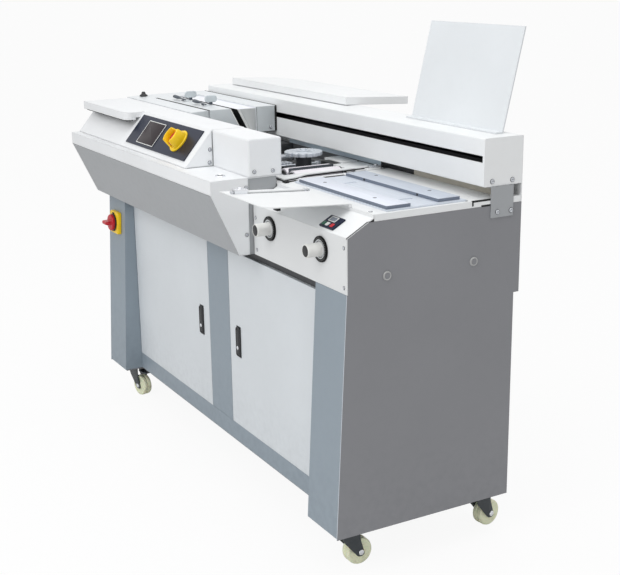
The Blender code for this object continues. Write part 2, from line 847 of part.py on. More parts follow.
def deck():
    """Stepped deck sheet with holes for the milling spindle and the nipping table's posts."""
    path = [
        (-INNER_RIGHT, BAY_Z),
        (DECK_LEFT, BAY_Z),
        (DECK_LEFT, DECK_TOP),
        (RIGHT, DECK_TOP),
        (RIGHT, PANEL_TOP + GAP),
    ]
    sheet = strip("deck", path, "Y", DECK_FRONT, DECK_REAR, SHEET)
    deep = BAY_Z - OVERRUN
    high = DECK_TOP + OVERRUN
    collar = MOTOR_COLLAR_RADIUS + GAP
    cut(sheet, rod("shaft_hole", collar, deep, BAY_Z + OVERRUN, "Z", (cutter_x(), CUTTER_Y)))
    for place in post_places():
        cut(sheet, rod("post_hole", NIP_POST_RADIUS + GAP, deep, high, "Z", place, COARSE))
    link(sheet, WHITE)


def right_fascia():
    """Folded front cover with a slanted top."""
    path = [
        (FASCIA_RETURN, FASCIA_BOTTOM),
        (0, FASCIA_BOTTOM),
        (0, FASCIA_EDGE),
        (DECK_FRONT - SHEET - GAP, slant_z(DECK_FRONT - SHEET - GAP)),
        (DECK_FRONT - SHEET - GAP, DECK_TOP),
    ]
    fascia = strip("right_fascia", path, "X", FASCIA_LEFT, RIGHT, SHEET)
    notch_high = (RIGHT + OVERRUN, FASCIA_RETURN + OVERRUN, FASCIA_BOTTOM + SHEET + GAP)
    cut(fascia, block("panel_notch", (INNER_RIGHT, SHEET, FASCIA_BOTTOM - OVERRUN), notch_high))
    link(fascia, WHITE)


def knob_profile():
    """Dial skirt, grip and recessed end cap, from the outer end down to the fascia."""
    edge = KNOB_RECESS / 2
    return [
        (0, KNOB_LENGTH - KNOB_RECESS),
        (KNOB_CAP_RADIUS, KNOB_LENGTH - KNOB_RECESS),
        (KNOB_CAP_RADIUS + edge / 2, KNOB_LENGTH),
        (KNOB_RADIUS - edge / 2, KNOB_LENGTH),
        (KNOB_RADIUS, KNOB_LENGTH - edge),
        (KNOB_RADIUS, DIAL_THICKNESS),
        (DIAL_INNER, DIAL_THICKNESS),
        (DIAL_INNER, DIAL_THICKNESS + edge),
        (DIAL_RADIUS - edge, DIAL_THICKNESS + edge),
        (DIAL_RADIUS, DIAL_THICKNESS),
        (DIAL_RADIUS, 0),
        (0, 0),
    ]


def adjusting_knobs():
    """Two knobs with dial skirts on the fascia; each turns about a Y axis."""
    places = (("left", LEFT_KNOB_FROM_RIGHT), ("right", RIGHT_KNOB_FROM_RIGHT))
    for side, inset in places:
        knob = turned(side + "_adjusting_knob", knob_profile(), FINE)
        knob.location = (RIGHT - inset, -GAP, KNOB_Z)
        knob.rotation_euler = (math.pi / 2, 0, 0)
        link(knob, WHITE)


def counter():
    """Small counter plate lying on the fascia's slant."""
    half = COUNTER_WIDTH / 2
    rise = COUNTER_HEIGHT / 2
    plate = block("counter_panel", (-half, -rise, 0), (half, rise, COUNTER_THICKNESS))
    bevel(plate, COUNTER_THICKNESS / 4, 1)
    angle = math.atan(SLANT)
    along = COUNTER_UP_SLANT
    lift = GAP
    y = along * math.cos(angle) - lift * math.sin(angle)
    z = FASCIA_EDGE + along * math.sin(angle) + lift * math.cos(angle)
    plate.location = (RIGHT - COUNTER_FROM_RIGHT, y, z)
    plate.rotation_euler = (angle, 0, 0)
    link(plate, BLACK)


def console():
    """White band and ledge with end caps, and the grey skirt and side plate inside them."""
    foot = FASCIA_BOTTOM
    cap = [
        (-CONSOLE_LIP, LIP_BOTTOM),
        (-SKIRT_FOOT, foot),
        (-END_CAP_REAR, foot),
        (-END_CAP_REAR, LEDGE_Z),
        (-CONSOLE_LIP, LEDGE_Z),
    ]
    band = [(-CONSOLE_LIP, LIP_BOTTOM), (-CONSOLE_LIP, LEDGE_Z), (CONSOLE_REAR, LEDGE_Z)]
    tray = strip("console_tray", band, "X", LEFT, CONSOLE_RIGHT, SHEET)
    for start in (LEFT, CONSOLE_RIGHT - SHEET):
        join(tray, prism("end_cap", cap, "X", start, start + SHEET))
    link(tray, WHITE)

    right = CONSOLE_RIGHT - SHEET - GAP
    run = CONSOLE_LIP - SKIRT_FOOT
    rise = LIP_BOTTOM - foot
    drop = GAP + SHEET * run / math.hypot(run, rise)
    path = [
        (-GAP, foot),
        (-SKIRT_FOOT, foot),
        (drop * run / rise - CONSOLE_LIP, LIP_BOTTOM - drop),
    ]
    skirt = strip("console_skirt", path, "X", -INNER_RIGHT, right, SHEET)
    low = (right - SHEET, -SKIRT_FOOT + SHEET / 2, foot)
    high = (right, DECK_FRONT - SHEET - GAP, LEDGE_Z - SHEET - GAP)
    join(skirt, block("side_plate", low, high))
    link(skirt, SKIRT_GREY)


def desk_outline(inset, top, foot):
    """Section of the sloped desk, moved inwards by an inset."""
    run = SLOPE_FOOT - SLOPE_HEAD
    rise = CONSOLE_TOP - LEDGE_Z
    shift = inset / math.sin(SLOPE_ANGLE)

    def slope_y(z):
        return -SLOPE_FOOT + run * (z - LEDGE_Z) / rise + shift

    return [
        (slope_y(foot), foot),
        (CONSOLE_REAR - inset, foot),
        (CONSOLE_REAR - inset, top),
        (slope_y(top), top),
    ]


def desk_and_hood():
    """Sloped desk with a well at its left end, and the upright hood at its right end."""
    seat = LEDGE_Z + GAP
    desk = prism("desk_cover", desk_outline(0, CONSOLE_TOP, seat), "X", LEFT, HOOD_LEFT - GAP)
    rim = CONSOLE_TOP - LID_THICKNESS - GAP
    above = CONSOLE_TOP + OVERRUN
    recess_low = (LEFT - OVERRUN, -CONSOLE_LIP, rim)
    recess = block("lid_recess", recess_low, (LID_RIGHT + GAP, CONSOLE_REAR + OVERRUN, above))
    well = desk_outline(WELL_WALL, above, seat + WELL_WALL)
    cut(desk, recess)
    cut(desk, prism("well", well, "X", LEFT + WELL_WALL, LID_RIGHT - WELL_WALL))
    inside = desk_outline(SHEET, CONSOLE_TOP - SHEET, seat - OVERRUN)
    cut(desk, prism("desk_inside", inside, "X", LID_RIGHT + SHEET, HOOD_LEFT - GAP - SHEET))
    link(desk, WHITE)

    hood_low = (HOOD_LEFT, -SLOPE_HEAD, seat)
    hood_high = (CONSOLE_RIGHT, CONSOLE_REAR, CONSOLE_TOP)
    link(pan("hood", hood_low, hood_high, (0, 0, -1), SHEET, HOOD_ROUND), WHITE)


def lid():
    """Folded lid with a rounded front corner, hinged along its rear edge."""
    rear = CONSOLE_REAR
    front = -LID_OVERHANG
    low = CONSOLE_TOP - LID_LIP_HEIGHT
    centre = (LID_RIGHT - LID_CORNER, front + LID_CORNER)
    outline = [(LEFT, rear), (LEFT, front), *quarter(centre, LID_CORNER, -90, 6), (LID_RIGHT, rear)]
    cover = prism("lid", outline, "Z", low, CONSOLE_TOP)
    hollow_low = (LEFT + LID_WALL, front + LID_CORNER, low - OVERRUN)
    hollow_high = (LID_RIGHT - LID_WALL, rear - LID_WALL, CONSOLE_TOP - LID_WALL)
    behind_low = (LEFT - OVERRUN, front + LID_LIP_DEPTH, low - OVERRUN)
    behind_high = (LID_RIGHT + OVERRUN, rear + OVERRUN, CONSOLE_TOP - LID_THICKNESS)
    cut(cover, block("lid_hollow", hollow_low, hollow_high), block("behind_lip", behind_low, behind_high))
    link(cover, WHITE)
    settle_in_place(cover)
    move_origin(cover, (LEFT + LID_LENGTH / 2, rear, CONSOLE_TOP - LID_HINGE_DROP))


def settle_in_place(thing):
    """Apply a linked part's modifiers and drop their helpers, so that its origin can be moved."""
    bpy.context.view_layer.update()
    evaluated = thing.evaluated_get(bpy.context.evaluated_depsgraph_get())
    mesh = bpy.data.meshes.new_from_object(evaluated)
    for step in thing.modifiers:
        if step.type == "BOOLEAN":
            bpy.data.objects.remove(step.object, do_unlink=True)
    thing.modifiers.clear()
    thing.data = mesh
    return thing


def on_slope(x, up, out):
    """Place on the desk's slope: a distance up it from its foot and one out of it."""
    y = -SLOPE_FOOT + up * math.cos(SLOPE_ANGLE) - out * math.sin(SLOPE_ANGLE)
    z = LEDGE_Z + up * math.sin(SLOPE_ANGLE) + out * math.cos(SLOPE_ANGLE)
    return (x, y, z)


def control_panel():
    """Dark panel with a raised screen frame on the slope."""
    right = HOOD_LEFT - CONTROL_FROM_HOOD
    middle = right - CONTROL_LENGTH / 2
    half = CONTROL_LENGTH / 2
    rise = CONTROL_HEIGHT / 2
    panel = block("control_panel", (-half, -rise, 0), (half, rise, CONTROL_THICKNESS))
    screen_left = -half + SCREEN_FROM_LEFT
    screen_low = (screen_left, -SCREEN_HEIGHT / 2, CONTROL_THICKNESS / 2)
    screen_high = (screen_left + SCREEN_LENGTH, SCREEN_HEIGHT / 2, CONTROL_THICKNESS + SCREEN_PROUD)
    screen = block("screen", screen_low, screen_high)
    up = CONTROL_FROM_FOOT + rise
    place = on_slope(middle, up, GAP)
    for thing in (panel, screen):
        thing.location = place
        thing.rotation_euler = (SLOPE_ANGLE, 0, 0)
    join(panel, screen)
    link(panel, NAVY)


def emergency_stop():
    """Yellow guard with two open mouths, and the mushroom button that is pressed inside it."""
    x = HOOD_LEFT - CONTROL_FROM_HOOD - STOP_FROM_RIGHT
    up = CONTROL_FROM_FOOT + STOP_UP_SLOPE
    base = STOP_BASE_HEIGHT
    top = STOP_GUARD_HEIGHT
    edge = SHEET / 2
    profile = [
        (STOP_GUARD_INNER, top),
        (STOP_GUARD_RADIUS - edge, top),
        (STOP_GUARD_RADIUS, top - edge),
        (STOP_GUARD_RADIUS, base),
        (STOP_BASE_RADIUS, base),
        (STOP_BASE_RADIUS, 0),
        (STOP_BORE_RADIUS, 0),
        (STOP_BORE_RADIUS, base),
        (STOP_GUARD_INNER, base),
        (STOP_GUARD_INNER, top),
    ]
    guard = frozen(turned("estop_guard", profile, FINE))
    half = STOP_GUARD_MOUTH / 2
    mouth_low = (-half, -STOP_BASE_RADIUS - OVERRUN, base + edge)
    mouth = block("mouth", mouth_low, (half, STOP_BASE_RADIUS + OVERRUN, top + OVERRUN))
    place = on_slope(x, up, CONTROL_THICKNESS + GAP * 2)
    for thing in (guard, mouth):
        thing.location = place
        thing.rotation_euler = (SLOPE_ANGLE, 0, 0)
    cut(guard, mouth)
    link(guard, YELLOW)

    under = base + STOP_TRAVEL + GAP
    stem = STOP_BORE_RADIUS - GAP
    cap = under + STOP_BUTTON_HEIGHT
    button_profile = [
        (0, cap),
        (STOP_BUTTON_RADIUS / 2, cap - edge / 2),
        (STOP_BUTTON_RADIUS - edge, cap - edge * 3),
        (STOP_BUTTON_RADIUS, under + edge * 2),
        (STOP_BUTTON_RADIUS, under),
        (stem, under),
        (stem, STOP_TRAVEL + GAP),
        (0, STOP_TRAVEL + GAP),
    ]
    button = turned("estop_button", button_profile, MEDIUM)
    button.location = place
    button.rotation_euler = guard.rotation_euler
    link(button, RED)


def main_switch():
    """Yellow plate and red rotary handle on the flared face of the left leg."""
    lean = math.atan2(FLARE, FASCIA_BOTTOM - BASE_Z)
    face_y = -FLARE * (FASCIA_BOTTOM - SWITCH_Z) / (FASCIA_BOTTOM - BASE_Z)
    half = SWITCH_SIZE / 2
    base = block("switch_base", (-half, -half, 0), (half, half, SWITCH_THICKNESS))
    bevel(base, SWITCH_BEVEL, 2)
    base.location = (LEFT + SWITCH_FROM_LEFT, face_y - GAP, SWITCH_Z)
    base.rotation_euler = (math.pi / 2 - lean, 0, 0)
    link(base, YELLOW)

    profile = [
        (0, SWITCH_DISC_THICKNESS),
        (SWITCH_DISC_RADIUS - SHEET, SWITCH_DISC_THICKNESS),
        (SWITCH_DISC_RADIUS, SWITCH_DISC_THICKNESS - SHEET),
        (SWITCH_DISC_RADIUS, 0),
        (0, 0),
    ]
    knob = turned("switch_knob", profile, MEDIUM)
    knob = frozen(knob)
    grip_half = SWITCH_GRIP_WIDTH / 2
    grip_low = (-SWITCH_GRIP_LENGTH / 2, -grip_half, SWITCH_DISC_THICKNESS / 2)
    grip_high = (SWITCH_GRIP_LENGTH / 2, grip_half, SWITCH_DISC_THICKNESS + SWITCH_GRIP_HEIGHT)
    grip = block("grip", grip_low, grip_high)
    out = SWITCH_THICKNESS + GAP
    place = (
        base.location.x,
        base.location.y - out * math.cos(lean),
        base.location.z + out * math.sin(lean),
    )
    for thing in (knob, grip):
        thing.location = place
        thing.rotation_euler = base.rotation_euler
    join(knob, grip)
    link(knob, RED)


def rear_beam():
    """Hollow beam with closed ends, a slot along its front and a web down to the back panel."""
    web = UPPER_DEPTH - SHEET
    seat = PANEL_TOP + GAP
    bend = BEAM_ROUND
    outline = [
        *quarter((BEAM_FRONT + bend, BEAM_BOTTOM + bend), bend, 180, 3),
        (web, BEAM_BOTTOM),
        (web, seat),
        (UPPER_DEPTH, seat),
        *quarter((UPPER_DEPTH - bend, BEAM_TOP - bend), bend, 0, 3),
        *quarter((BEAM_FRONT + bend, BEAM_TOP - bend), bend, 90, 3),
    ]
    beam = prism("rear_beam", outline, "X", LEFT, RIGHT)
    hollow_low = (LEFT + SHEET, BEAM_FRONT + SHEET, BEAM_BOTTOM + SHEET)
    hollow = block("beam_hollow", hollow_low, (RIGHT - SHEET, web, BEAM_TOP - SHEET))
    slot_low = (LEFT + SLOT_LEFT_INSET, BEAM_FRONT - OVERRUN, SLOT_BOTTOM)
    slot_high = (RIGHT - SLOT_RIGHT_INSET, BEAM_FRONT + OVERRUN, SLOT_TOP)
    cut(beam, hollow, block("beam_slot", slot_low, slot_high))
    link(beam, WHITE)

    outer = RIGHT + GAP + SHEET
    path = [
        (outer - BRACKET_REACH, BEAM_BOTTOM - GAP),
        (outer, BEAM_BOTTOM - GAP),
        (outer, BEAM_BOTTOM - BRACKET_DROP),
    ]
    bracket = strip("beam_bracket", path, "Y", BRACKET_FRONT, BRACKET_REAR, SHEET)
    link(bracket, SKIRT_GREY)

    foot = BEAM_BOTTOM + SHEET + GAP
    top = foot + GUIDE_HEIGHT
    front = GUIDE_FRONT
    rear = GUIDE_FRONT + GUIDE_WIDTH
    neck_front = (front + rear - GUIDE_NECK) / 2
    neck_rear = (front + rear + GUIDE_NECK) / 2
    section = [
        (front, foot),
        (rear, foot),
        (rear, foot + GUIDE_FOOT_HEIGHT),
        (neck_rear, foot + GUIDE_FOOT_HEIGHT),
        (neck_rear, top - GUIDE_HEAD_HEIGHT),
        (rear, top - GUIDE_HEAD_HEIGHT),
        (rear, top),
        (front, top),
        (front, top - GUIDE_HEAD_HEIGHT),
        (neck_front, top - GUIDE_HEAD_HEIGHT),
        (neck_front, foot + GUIDE_FOOT_HEIGHT),
        (front, foot + GUIDE_FOOT_HEIGHT),
    ]
    inner = SHEET + GAP
    link(prism("guide_rail", section, "X", LEFT + inner, RIGHT - inner), STEEL)


def paper_tray():
    """Folded tray with a cut corner, tilted back over the beam's rear edge."""
    left = LEFT + TRAY_LEFT_INSET
    right = left + TRAY_LENGTH
    front = -TRAY_LAP
    rear = TRAY_REACH
    outline = [
        (left, front),
        (right, front),
        (right, rear),
        (left + TRAY_CORNER_LENGTH, rear),
        (left, rear - TRAY_CORNER_DEPTH),
    ]
    tray = prism("rear_tray", outline, "Z", 0, TRAY_HEIGHT)
    corner = TRAY_CORNER_LENGTH * SHEET / TRAY_CORNER_DEPTH
    hollow = [
        (left + SHEET, front + SHEET),
        (right - SHEET, front + SHEET),
        (right - SHEET, rear - SHEET),
        (left + TRAY_CORNER_LENGTH + corner / 2, rear - SHEET),
        (left + SHEET, rear - TRAY_CORNER_DEPTH - corner / 2),
    ]
    inside = prism("tray_hollow", hollow, "Z", -OVERRUN, TRAY_HEIGHT - SHEET)
    cut(tray, inside)
    for thing in (tray, inside):
        thing.location = (0, UPPER_DEPTH, BEAM_TOP + GAP)
        thing.rotation_euler = (-TRAY_TILT, 0, 0)
    link(tray, WHITE)


def paper_stand():
    """Leaning sheet folded up from a foot on the beam's top."""
    low = BEAM_TOP + GAP
    fold = UPPER_DEPTH - STAND_FOLD_INSET
    path = [(fold + STAND_LEAN, BEAM_TOP + STAND_HEIGHT), (fold, low), (fold - STAND_FOOT, low)]
    end = RIGHT - STAND_FROM_RIGHT
    link(strip("paper_stand", path, "X", end - STAND_LENGTH, end, STAND_WALL), WHITE)


def cover_table():
    """Tilted plate hinged at the deck's front edge, with a rail, and the guide that slides on it."""
    centre = (TABLE_WIDTH - TABLE_CORNER, TABLE_CORNER - TABLE_DEPTH)
    outline = [(0, 0), (0, -TABLE_DEPTH), *quarter(centre, TABLE_CORNER, -90, 6), (TABLE_WIDTH, 0)]
    top = TABLE_PIN_RADIUS
    plate = prism("cover_table", outline, "Z", top - TABLE_WALL, top)
    rail_low = RAIL_FROM_LEFT - RAIL_WIDTH / 2
    rail = block("rail", (rail_low, RAIL_END - TABLE_DEPTH, top - TABLE_WALL / 2),
                 (rail_low + RAIL_WIDTH, -RAIL_END, top + RAIL_HEIGHT))
    pin = rod("pin", TABLE_PIN_RADIUS, 0, TABLE_WIDTH, "X", (0, 0), COARSE)
    join(plate, rail, pin)
    axis = (TABLE_LEFT, TABLE_AXIS_Y, DECK_TOP + TABLE_PIN_RADIUS + GAP)
    for thing in (plate, rail, pin):
        thing.location = axis
        thing.rotation_euler = (-TABLE_TILT, 0, 0)
    link(plate, WHITE)

    half = GUIDE_BLOCK_WIDTH / 2
    start = GUIDE_BLOCK_FROM_FRONT - TABLE_DEPTH
    low = top + GAP
    guide = block("cover_guide", (-half, start, low),
                  (half, start + GUIDE_BLOCK_LENGTH, low + GUIDE_BLOCK_HEIGHT))
    channel = RAIL_WIDTH / 2 + GAP
    groove = block("groove", (-channel, start - OVERRUN, low - OVERRUN),
                   (channel, start + GUIDE_BLOCK_LENGTH + OVERRUN, top + RAIL_HEIGHT + GAP))
    cut(guide, groove)
    for thing in (guide, groove):
        thing.location = (TABLE_LEFT + RAIL_FROM_LEFT, axis[1], axis[2])
        thing.rotation_euler = (-TABLE_TILT, 0, 0)
    link(guide, STEEL)
    carry(plate, guide.name)


def rake_y(y, z):
    """Depth of a raked clamp face that is at y at the top of the carriage."""
    return y + JAW_RAKE * (CARRIAGE_TOP - z) / (CARRIAGE_TOP - CARRIAGE_BOTTOM)


def carriage_ends():
    left = LEFT - CARRIAGE_OVERHANG
    return left, left + CARRIAGE_LENGTH


def carriage():
    """Clamp carriage: front bar, hollow rear box, bridge, and the saddle that rides in the beam."""
    left, right = carriage_ends()
    low = CARRIAGE_BOTTOM
    top = CARRIAGE_TOP
    section = [
        (BAR_FRONT, low),
        (BOX_REAR, low),
        (BOX_REAR, top),
        (BAR_FRONT + BAR_CHAMFER_REACH, top),
        (BAR_FRONT, top - BAR_CHAMFER_DROP),
    ]
    body = prism("carriage", section, "X", left, right)
    bridge_right = left + CARRIAGE_BRIDGE
    below = low - OVERRUN
    above = top + OVERRUN
    clamp_gap = [
        (rake_y(BAR_REAR, below), below),
        (BOX_FRONT, below),
        (BOX_FRONT, above),
        (rake_y(BAR_REAR, above), above),
    ]
    cut(body, prism("clamp_gap", clamp_gap, "X", bridge_right, right + OVERRUN))
    cavity_low = (bridge_right + BOX_WALL, BOX_FRONT - OVERRUN, low + BOX_WALL)
    cavity_high = (right - BOX_WALL, BOX_REAR - SHEET, top - BOX_WALL)
    cavity = block("cavity", cavity_low, cavity_high)
    arm_left = left + ARM_FROM_LEFT
    arm_z = (SLOT_BOTTOM + SLOT_TOP - ARM_HEIGHT) / 2
    saddle_front = GUIDE_FRONT - GAP - SADDLE_WALL
    arm = block("arm", (arm_left, BOX_REAR - SHEET / 2, arm_z),
                (arm_left + ARM_LENGTH, saddle_front + SADDLE_WALL / 2, arm_z + ARM_HEIGHT))
    saddle_left = arm_left + (ARM_LENGTH - SADDLE_LENGTH) / 2
    saddle_rear = GUIDE_FRONT + GUIDE_WIDTH + GAP + SADDLE_WALL
    guide_top = BEAM_BOTTOM + SHEET + GAP + GUIDE_HEIGHT
    saddle_low = guide_top - SADDLE_INTO_GUIDE
    saddle = block("saddle", (saddle_left, saddle_front, saddle_low),
                   (saddle_left + SADDLE_LENGTH, saddle_rear, guide_top + GAP + SADDLE_TOP))
    rail_space = block("rail_space", (saddle_left - OVERRUN, GUIDE_FRONT - GAP, saddle_low - OVERRUN),
                       (saddle_left + SADDLE_LENGTH + OVERRUN, GUIDE_FRONT + GUIDE_WIDTH + GAP,
                        guide_top + GAP))
    slit = block("slit", (bridge_right, SLIT_Y, top - SLIT_DEPTH),
                 (right + OVERRUN, SLIT_Y + SLIT_WIDTH, above))
    cut(body, cavity, slit)
    join(body, arm, saddle)
    cut(body, rail_space)
    link(body, SILVER)

    jaw_left = bridge_right + BOX_WALL + GAP
    jaw_right = right - BOX_WALL - GAP
    jaw_low = low + BOX_WALL + GAP
    jaw_top = top - BOX_WALL - GAP
    face = BAR_REAR + JAW_OPENING
    section = [
        (rake_y(face, jaw_low), jaw_low),
        (JAW_TAIL, jaw_low),
        (JAW_TAIL, jaw_top),
        (rake_y(face, jaw_top), jaw_top),
    ]
    link(prism("clamp_jaw", section, "X", jaw_left, jaw_right), SILVER)


def carriage_fittings():
    """Black knob at the carriage's left end and two swing levers on the front bar."""
    left, right = carriage_ends()
    height = CARRIAGE_KNOB_HEIGHT
    radius = CARRIAGE_KNOB_RADIUS
    neck = radius / 2
    profile = [
        (0, height),
        (neck / 2, height),
        (neck, height - SHEET),
        (neck, height / 2),
        (radius, height / 4),
        (radius, 0),
        (0, 0),
    ]
    knob = turned("carriage_knob", profile, COARSE)
    knob.location = (left + CARRIAGE_KNOB_X, CARRIAGE_KNOB_Y, CARRIAGE_TOP + GAP)
    link(knob, BLACK)
    carry(bpy.data.objects["carriage"], "clamp_jaw", knob.name)

    for side, inset in zip(("left", "right"), LEVER_FROM_RIGHT):
        disc_profile = [
            (0, LEVER_DISC_HEIGHT),
            (LEVER_DISC_RADIUS, LEVER_DISC_HEIGHT),
            (LEVER_DISC_RADIUS, 0),
            (0, 0),
        ]
        lever = frozen(turned(side + "_clamp_lever", disc_profile, COARSE))
        half = LEVER_ARM_WIDTH / 2
        arm = block("lever_arm", (-LEVER_ARM_LENGTH, -half, LEVER_LIFT),
                    (LEVER_ARM_TAIL, half, LEVER_LIFT + LEVER_ARM_HEIGHT))
        bevel(arm, LEVER_ARM_HEIGHT / 4, 1)
        arm = frozen(arm)
        tab = prism("tab", rounded(LEVER_TAB_WIDTH, LEVER_TAB_HEIGHT, LEVER_TAB_ROUND), "X",
                    -LEVER_TAB_THICKNESS / 2, LEVER_TAB_THICKNESS / 2)
        shifted(tab, (0, LEVER_TAB_WIDTH / 4, LEVER_TAB_HEIGHT / 2 + LEVER_LIFT))
        for thing in (lever, arm, tab):
            thing.location = (right - inset, LEVER_Y, CARRIAGE_TOP + GAP)
        join(lever, arm, tab)
        link(lever, BLACK)
        carry(bpy.data.objects["carriage"], lever.name)


def milling_head():
    """Motor under the bay with a finned body, and the toothed cutter on its shaft."""
    x = cutter_x()
    seat = BAY_Z - SHEET - GAP
    flange_low = seat - MOTOR_FLANGE_THICKNESS
    half = MOTOR_FLANGE / 2
    motor = block("milling_motor", (x - half, CUTTER_Y - half, flange_low),
                  (x + half, CUTTER_Y + half, seat))
    body = [(0, 0), (MOTOR_RADIUS, 0)]
    start = MOTOR_FIN_PITCH
    for fin in range(MOTOR_FIN_COUNT):
        z = start + fin * MOTOR_FIN_PITCH
        body += [
            (MOTOR_RADIUS, z),
            (MOTOR_RADIUS - MOTOR_FIN_DEPTH, z),
            (MOTOR_RADIUS - MOTOR_FIN_DEPTH, z + MOTOR_FIN_PITCH - MOTOR_FIN_THICKNESS),
            (MOTOR_RADIUS, z + MOTOR_FIN_PITCH - MOTOR_FIN_THICKNESS),
        ]
    body += [(MOTOR_RADIUS, MOTOR_HEIGHT), (0, MOTOR_HEIGHT)]
    body.reverse()
    can = frozen(turned("can", body, COARSE))
    shifted(can, (x, CUTTER_Y, flange_low - MOTOR_HEIGHT + SHEET / 2))
    spindle = [
        (0, MOTOR_COLLAR_TOP),
        (MOTOR_COLLAR_NECK, MOTOR_COLLAR_TOP),
        (MOTOR_COLLAR_NECK, (MOTOR_COLLAR_TOP + BAY_Z) / 2),
        (MOTOR_COLLAR_RADIUS, BAY_Z + SHEET),
        (MOTOR_COLLAR_RADIUS, seat - SHEET),
        (0, seat - SHEET),
    ]
    collar = shifted(frozen(turned("collar", spindle, MEDIUM)), (x, CUTTER_Y, 0))
    shaft_top = CUTTER_TOP - GAP
    shaft = rod("shaft", SHAFT_RADIUS, seat, shaft_top, "Z", (x, CUTTER_Y), COARSE)
    join(motor, can, collar, shaft)
    link(motor, DARK)

    top = CUTTER_TOP - CUTTER_HUB_HEIGHT
    bore = SHAFT_RADIUS + GAP
    edge = SHEET / 2
    profile = [
        (0, CUTTER_HUB_HEIGHT + SHEET + GAP),
        (CUTTER_HUB_RADIUS - edge, CUTTER_HUB_HEIGHT + SHEET + GAP),
        (CUTTER_HUB_RADIUS, CUTTER_HUB_HEIGHT),
        (CUTTER_HUB_RADIUS, 0),
        (CUTTER_RADIUS, 0),
        (CUTTER_RADIUS, -CUTTER_THICKNESS),
        (bore, -CUTTER_THICKNESS),
        (bore, CUTTER_HUB_HEIGHT),
        (0, CUTTER_HUB_HEIGHT),
    ]
    cutter = frozen(turned("cutter_disc", profile, FINE))
    for tooth in range(CUTTER_TEETH):
        angle = 2 * math.pi * tooth / CUTTER_TEETH
        gullet = block("gullet", (CUTTER_RADIUS - CUTTER_GULLET_DEPTH, 0, -CUTTER_THICKNESS - OVERRUN),
                       (CUTTER_RADIUS + OVERRUN, CUTTER_GULLET, OVERRUN))
        shifted(gullet, (x, CUTTER_Y, top), Matrix.Rotation(angle, 4, "Z"))
        cut(cutter, gullet)
    cutter.location = (x, CUTTER_Y, top)
    link(cutter, STEEL)


def roller_places():
    """X of the two rollers, the right one first."""
    right = DECK_LEFT - ROLLER_FROM_STEP
    return right, right - 2 * ROLLER_RADIUS - ROLLER_CLEARANCE


def glue_station():
    """Open tank with journal holes, and two rollers that dip into it."""
    right, left = roller_places()
    reach = ROLLER_RADIUS + TANK_SIDE_CLEARANCE + TANK_WALL
    front = ROLLER_FRONT - ROLLER_END_GAP - TANK_WALL
    rear = ROLLER_FRONT + ROLLER_LENGTH + ROLLER_END_GAP + TANK_WALL
    low = BAY_Z + GAP
    tank = block("glue_tank", (left - reach, front, low), (right + reach, rear, TANK_TOP))
    inside_low = (left - reach + TANK_WALL, front + TANK_WALL, low + TANK_WALL)
    inside_high = (right + reach - TANK_WALL, rear - TANK_WALL, TANK_TOP + OVERRUN)
    cut(tank, block("tank_inside", inside_low, inside_high))
    for x in (right, left):
        hole = JOURNAL_RADIUS + GAP
        cut(tank, rod("journal_hole", hole, front - OVERRUN, rear + OVERRUN, "Y", (x, ROLLER_Z), COARSE))
    rim_low = (right + reach - TANK_WALL / 2, front, TANK_TOP - TANK_WALL)
    join(tank, block("tank_rim", rim_low, (right + reach + TANK_RIM, rear, TANK_TOP)))
    link(tank, DARK)

    end = ROLLER_LENGTH / 2
    journal = end + JOURNAL_REACH
    wheel_in = journal
    wheel_out = journal + SPROCKET_THICKNESS
    profile = [
        (0, wheel_out),
        (SPROCKET_RADIUS, wheel_out),
        (SPROCKET_RADIUS, wheel_in),
        (JOURNAL_RADIUS, wheel_in),
        (JOURNAL_RADIUS, end),
        (ROLLER_RADIUS, end),
        (ROLLER_RADIUS, -end),
        (JOURNAL_RADIUS, -end),
        (JOURNAL_RADIUS, -journal),
        (0, -journal),
    ]
    for name, x in (("right_glue_roller", right), ("left_glue_roller", left)):
        roller = turned(name, profile, FINE)
        roller.location = (x, ROLLER_FRONT + end, ROLLER_Z)
        roller.rotation_euler = (-math.pi / 2, 0, 0)
        link(roller, STEEL)


def nipping_station():
    """Table lifted on two posts, with a fixed rear plate and a front plate that slides on keys."""
    low = DECK_TOP + GAP
    top = low + NIP_TABLE_THICKNESS
    right = RIGHT - NIP_TABLE_INSET
    table = block("nipping_table", (right - NIP_TABLE_LENGTH, NIP_TABLE_FRONT, low),
                  (right, NIP_TABLE_FRONT + NIP_TABLE_DEPTH, top))
    half = NIP_KEY_WIDTH / 2
    key_front = FRONT_PLATE_FRONT + (FRONT_PLATE_DEPTH - NIP_KEY_LENGTH) / 2
    key_rear = key_front + NIP_KEY_LENGTH
    for x in plate_keys():
        cut(table, block("key_slot", (x - half - GAP, key_front - GAP, low - OVERRUN),
                         (x + half + GAP, key_rear + NIP_TRAVEL + GAP, top + OVERRUN)))
    for place in post_places():
        join(table, rod("post", NIP_POST_RADIUS, low - NIP_POST_LENGTH, low + GAP, "Z", place, COARSE))
    link(table, STEEL)

    seat = top + GAP
    end = RIGHT - FRONT_PLATE_INSET
    front = block("front_nipping_plate", (end - FRONT_PLATE_LENGTH, FRONT_PLATE_FRONT, seat),
                  (end, FRONT_PLATE_FRONT + FRONT_PLATE_DEPTH, seat + NIP_PLATE_HEIGHT))
    for x in plate_keys():
        join(front, block("key", (x - half, key_front, low + GAP), (x + half, key_rear, seat + GAP)))
    link(front, STEEL)
    end = RIGHT - REAR_PLATE_INSET
    rear = block("rear_nipping_plate", (end - REAR_PLATE_LENGTH, REAR_PLATE_FRONT, seat),
                 (end, REAR_PLATE_FRONT + REAR_PLATE_DEPTH, seat + NIP_PLATE_HEIGHT))
    link(rear, STEEL)
    carry(table, front.name, rear.name)


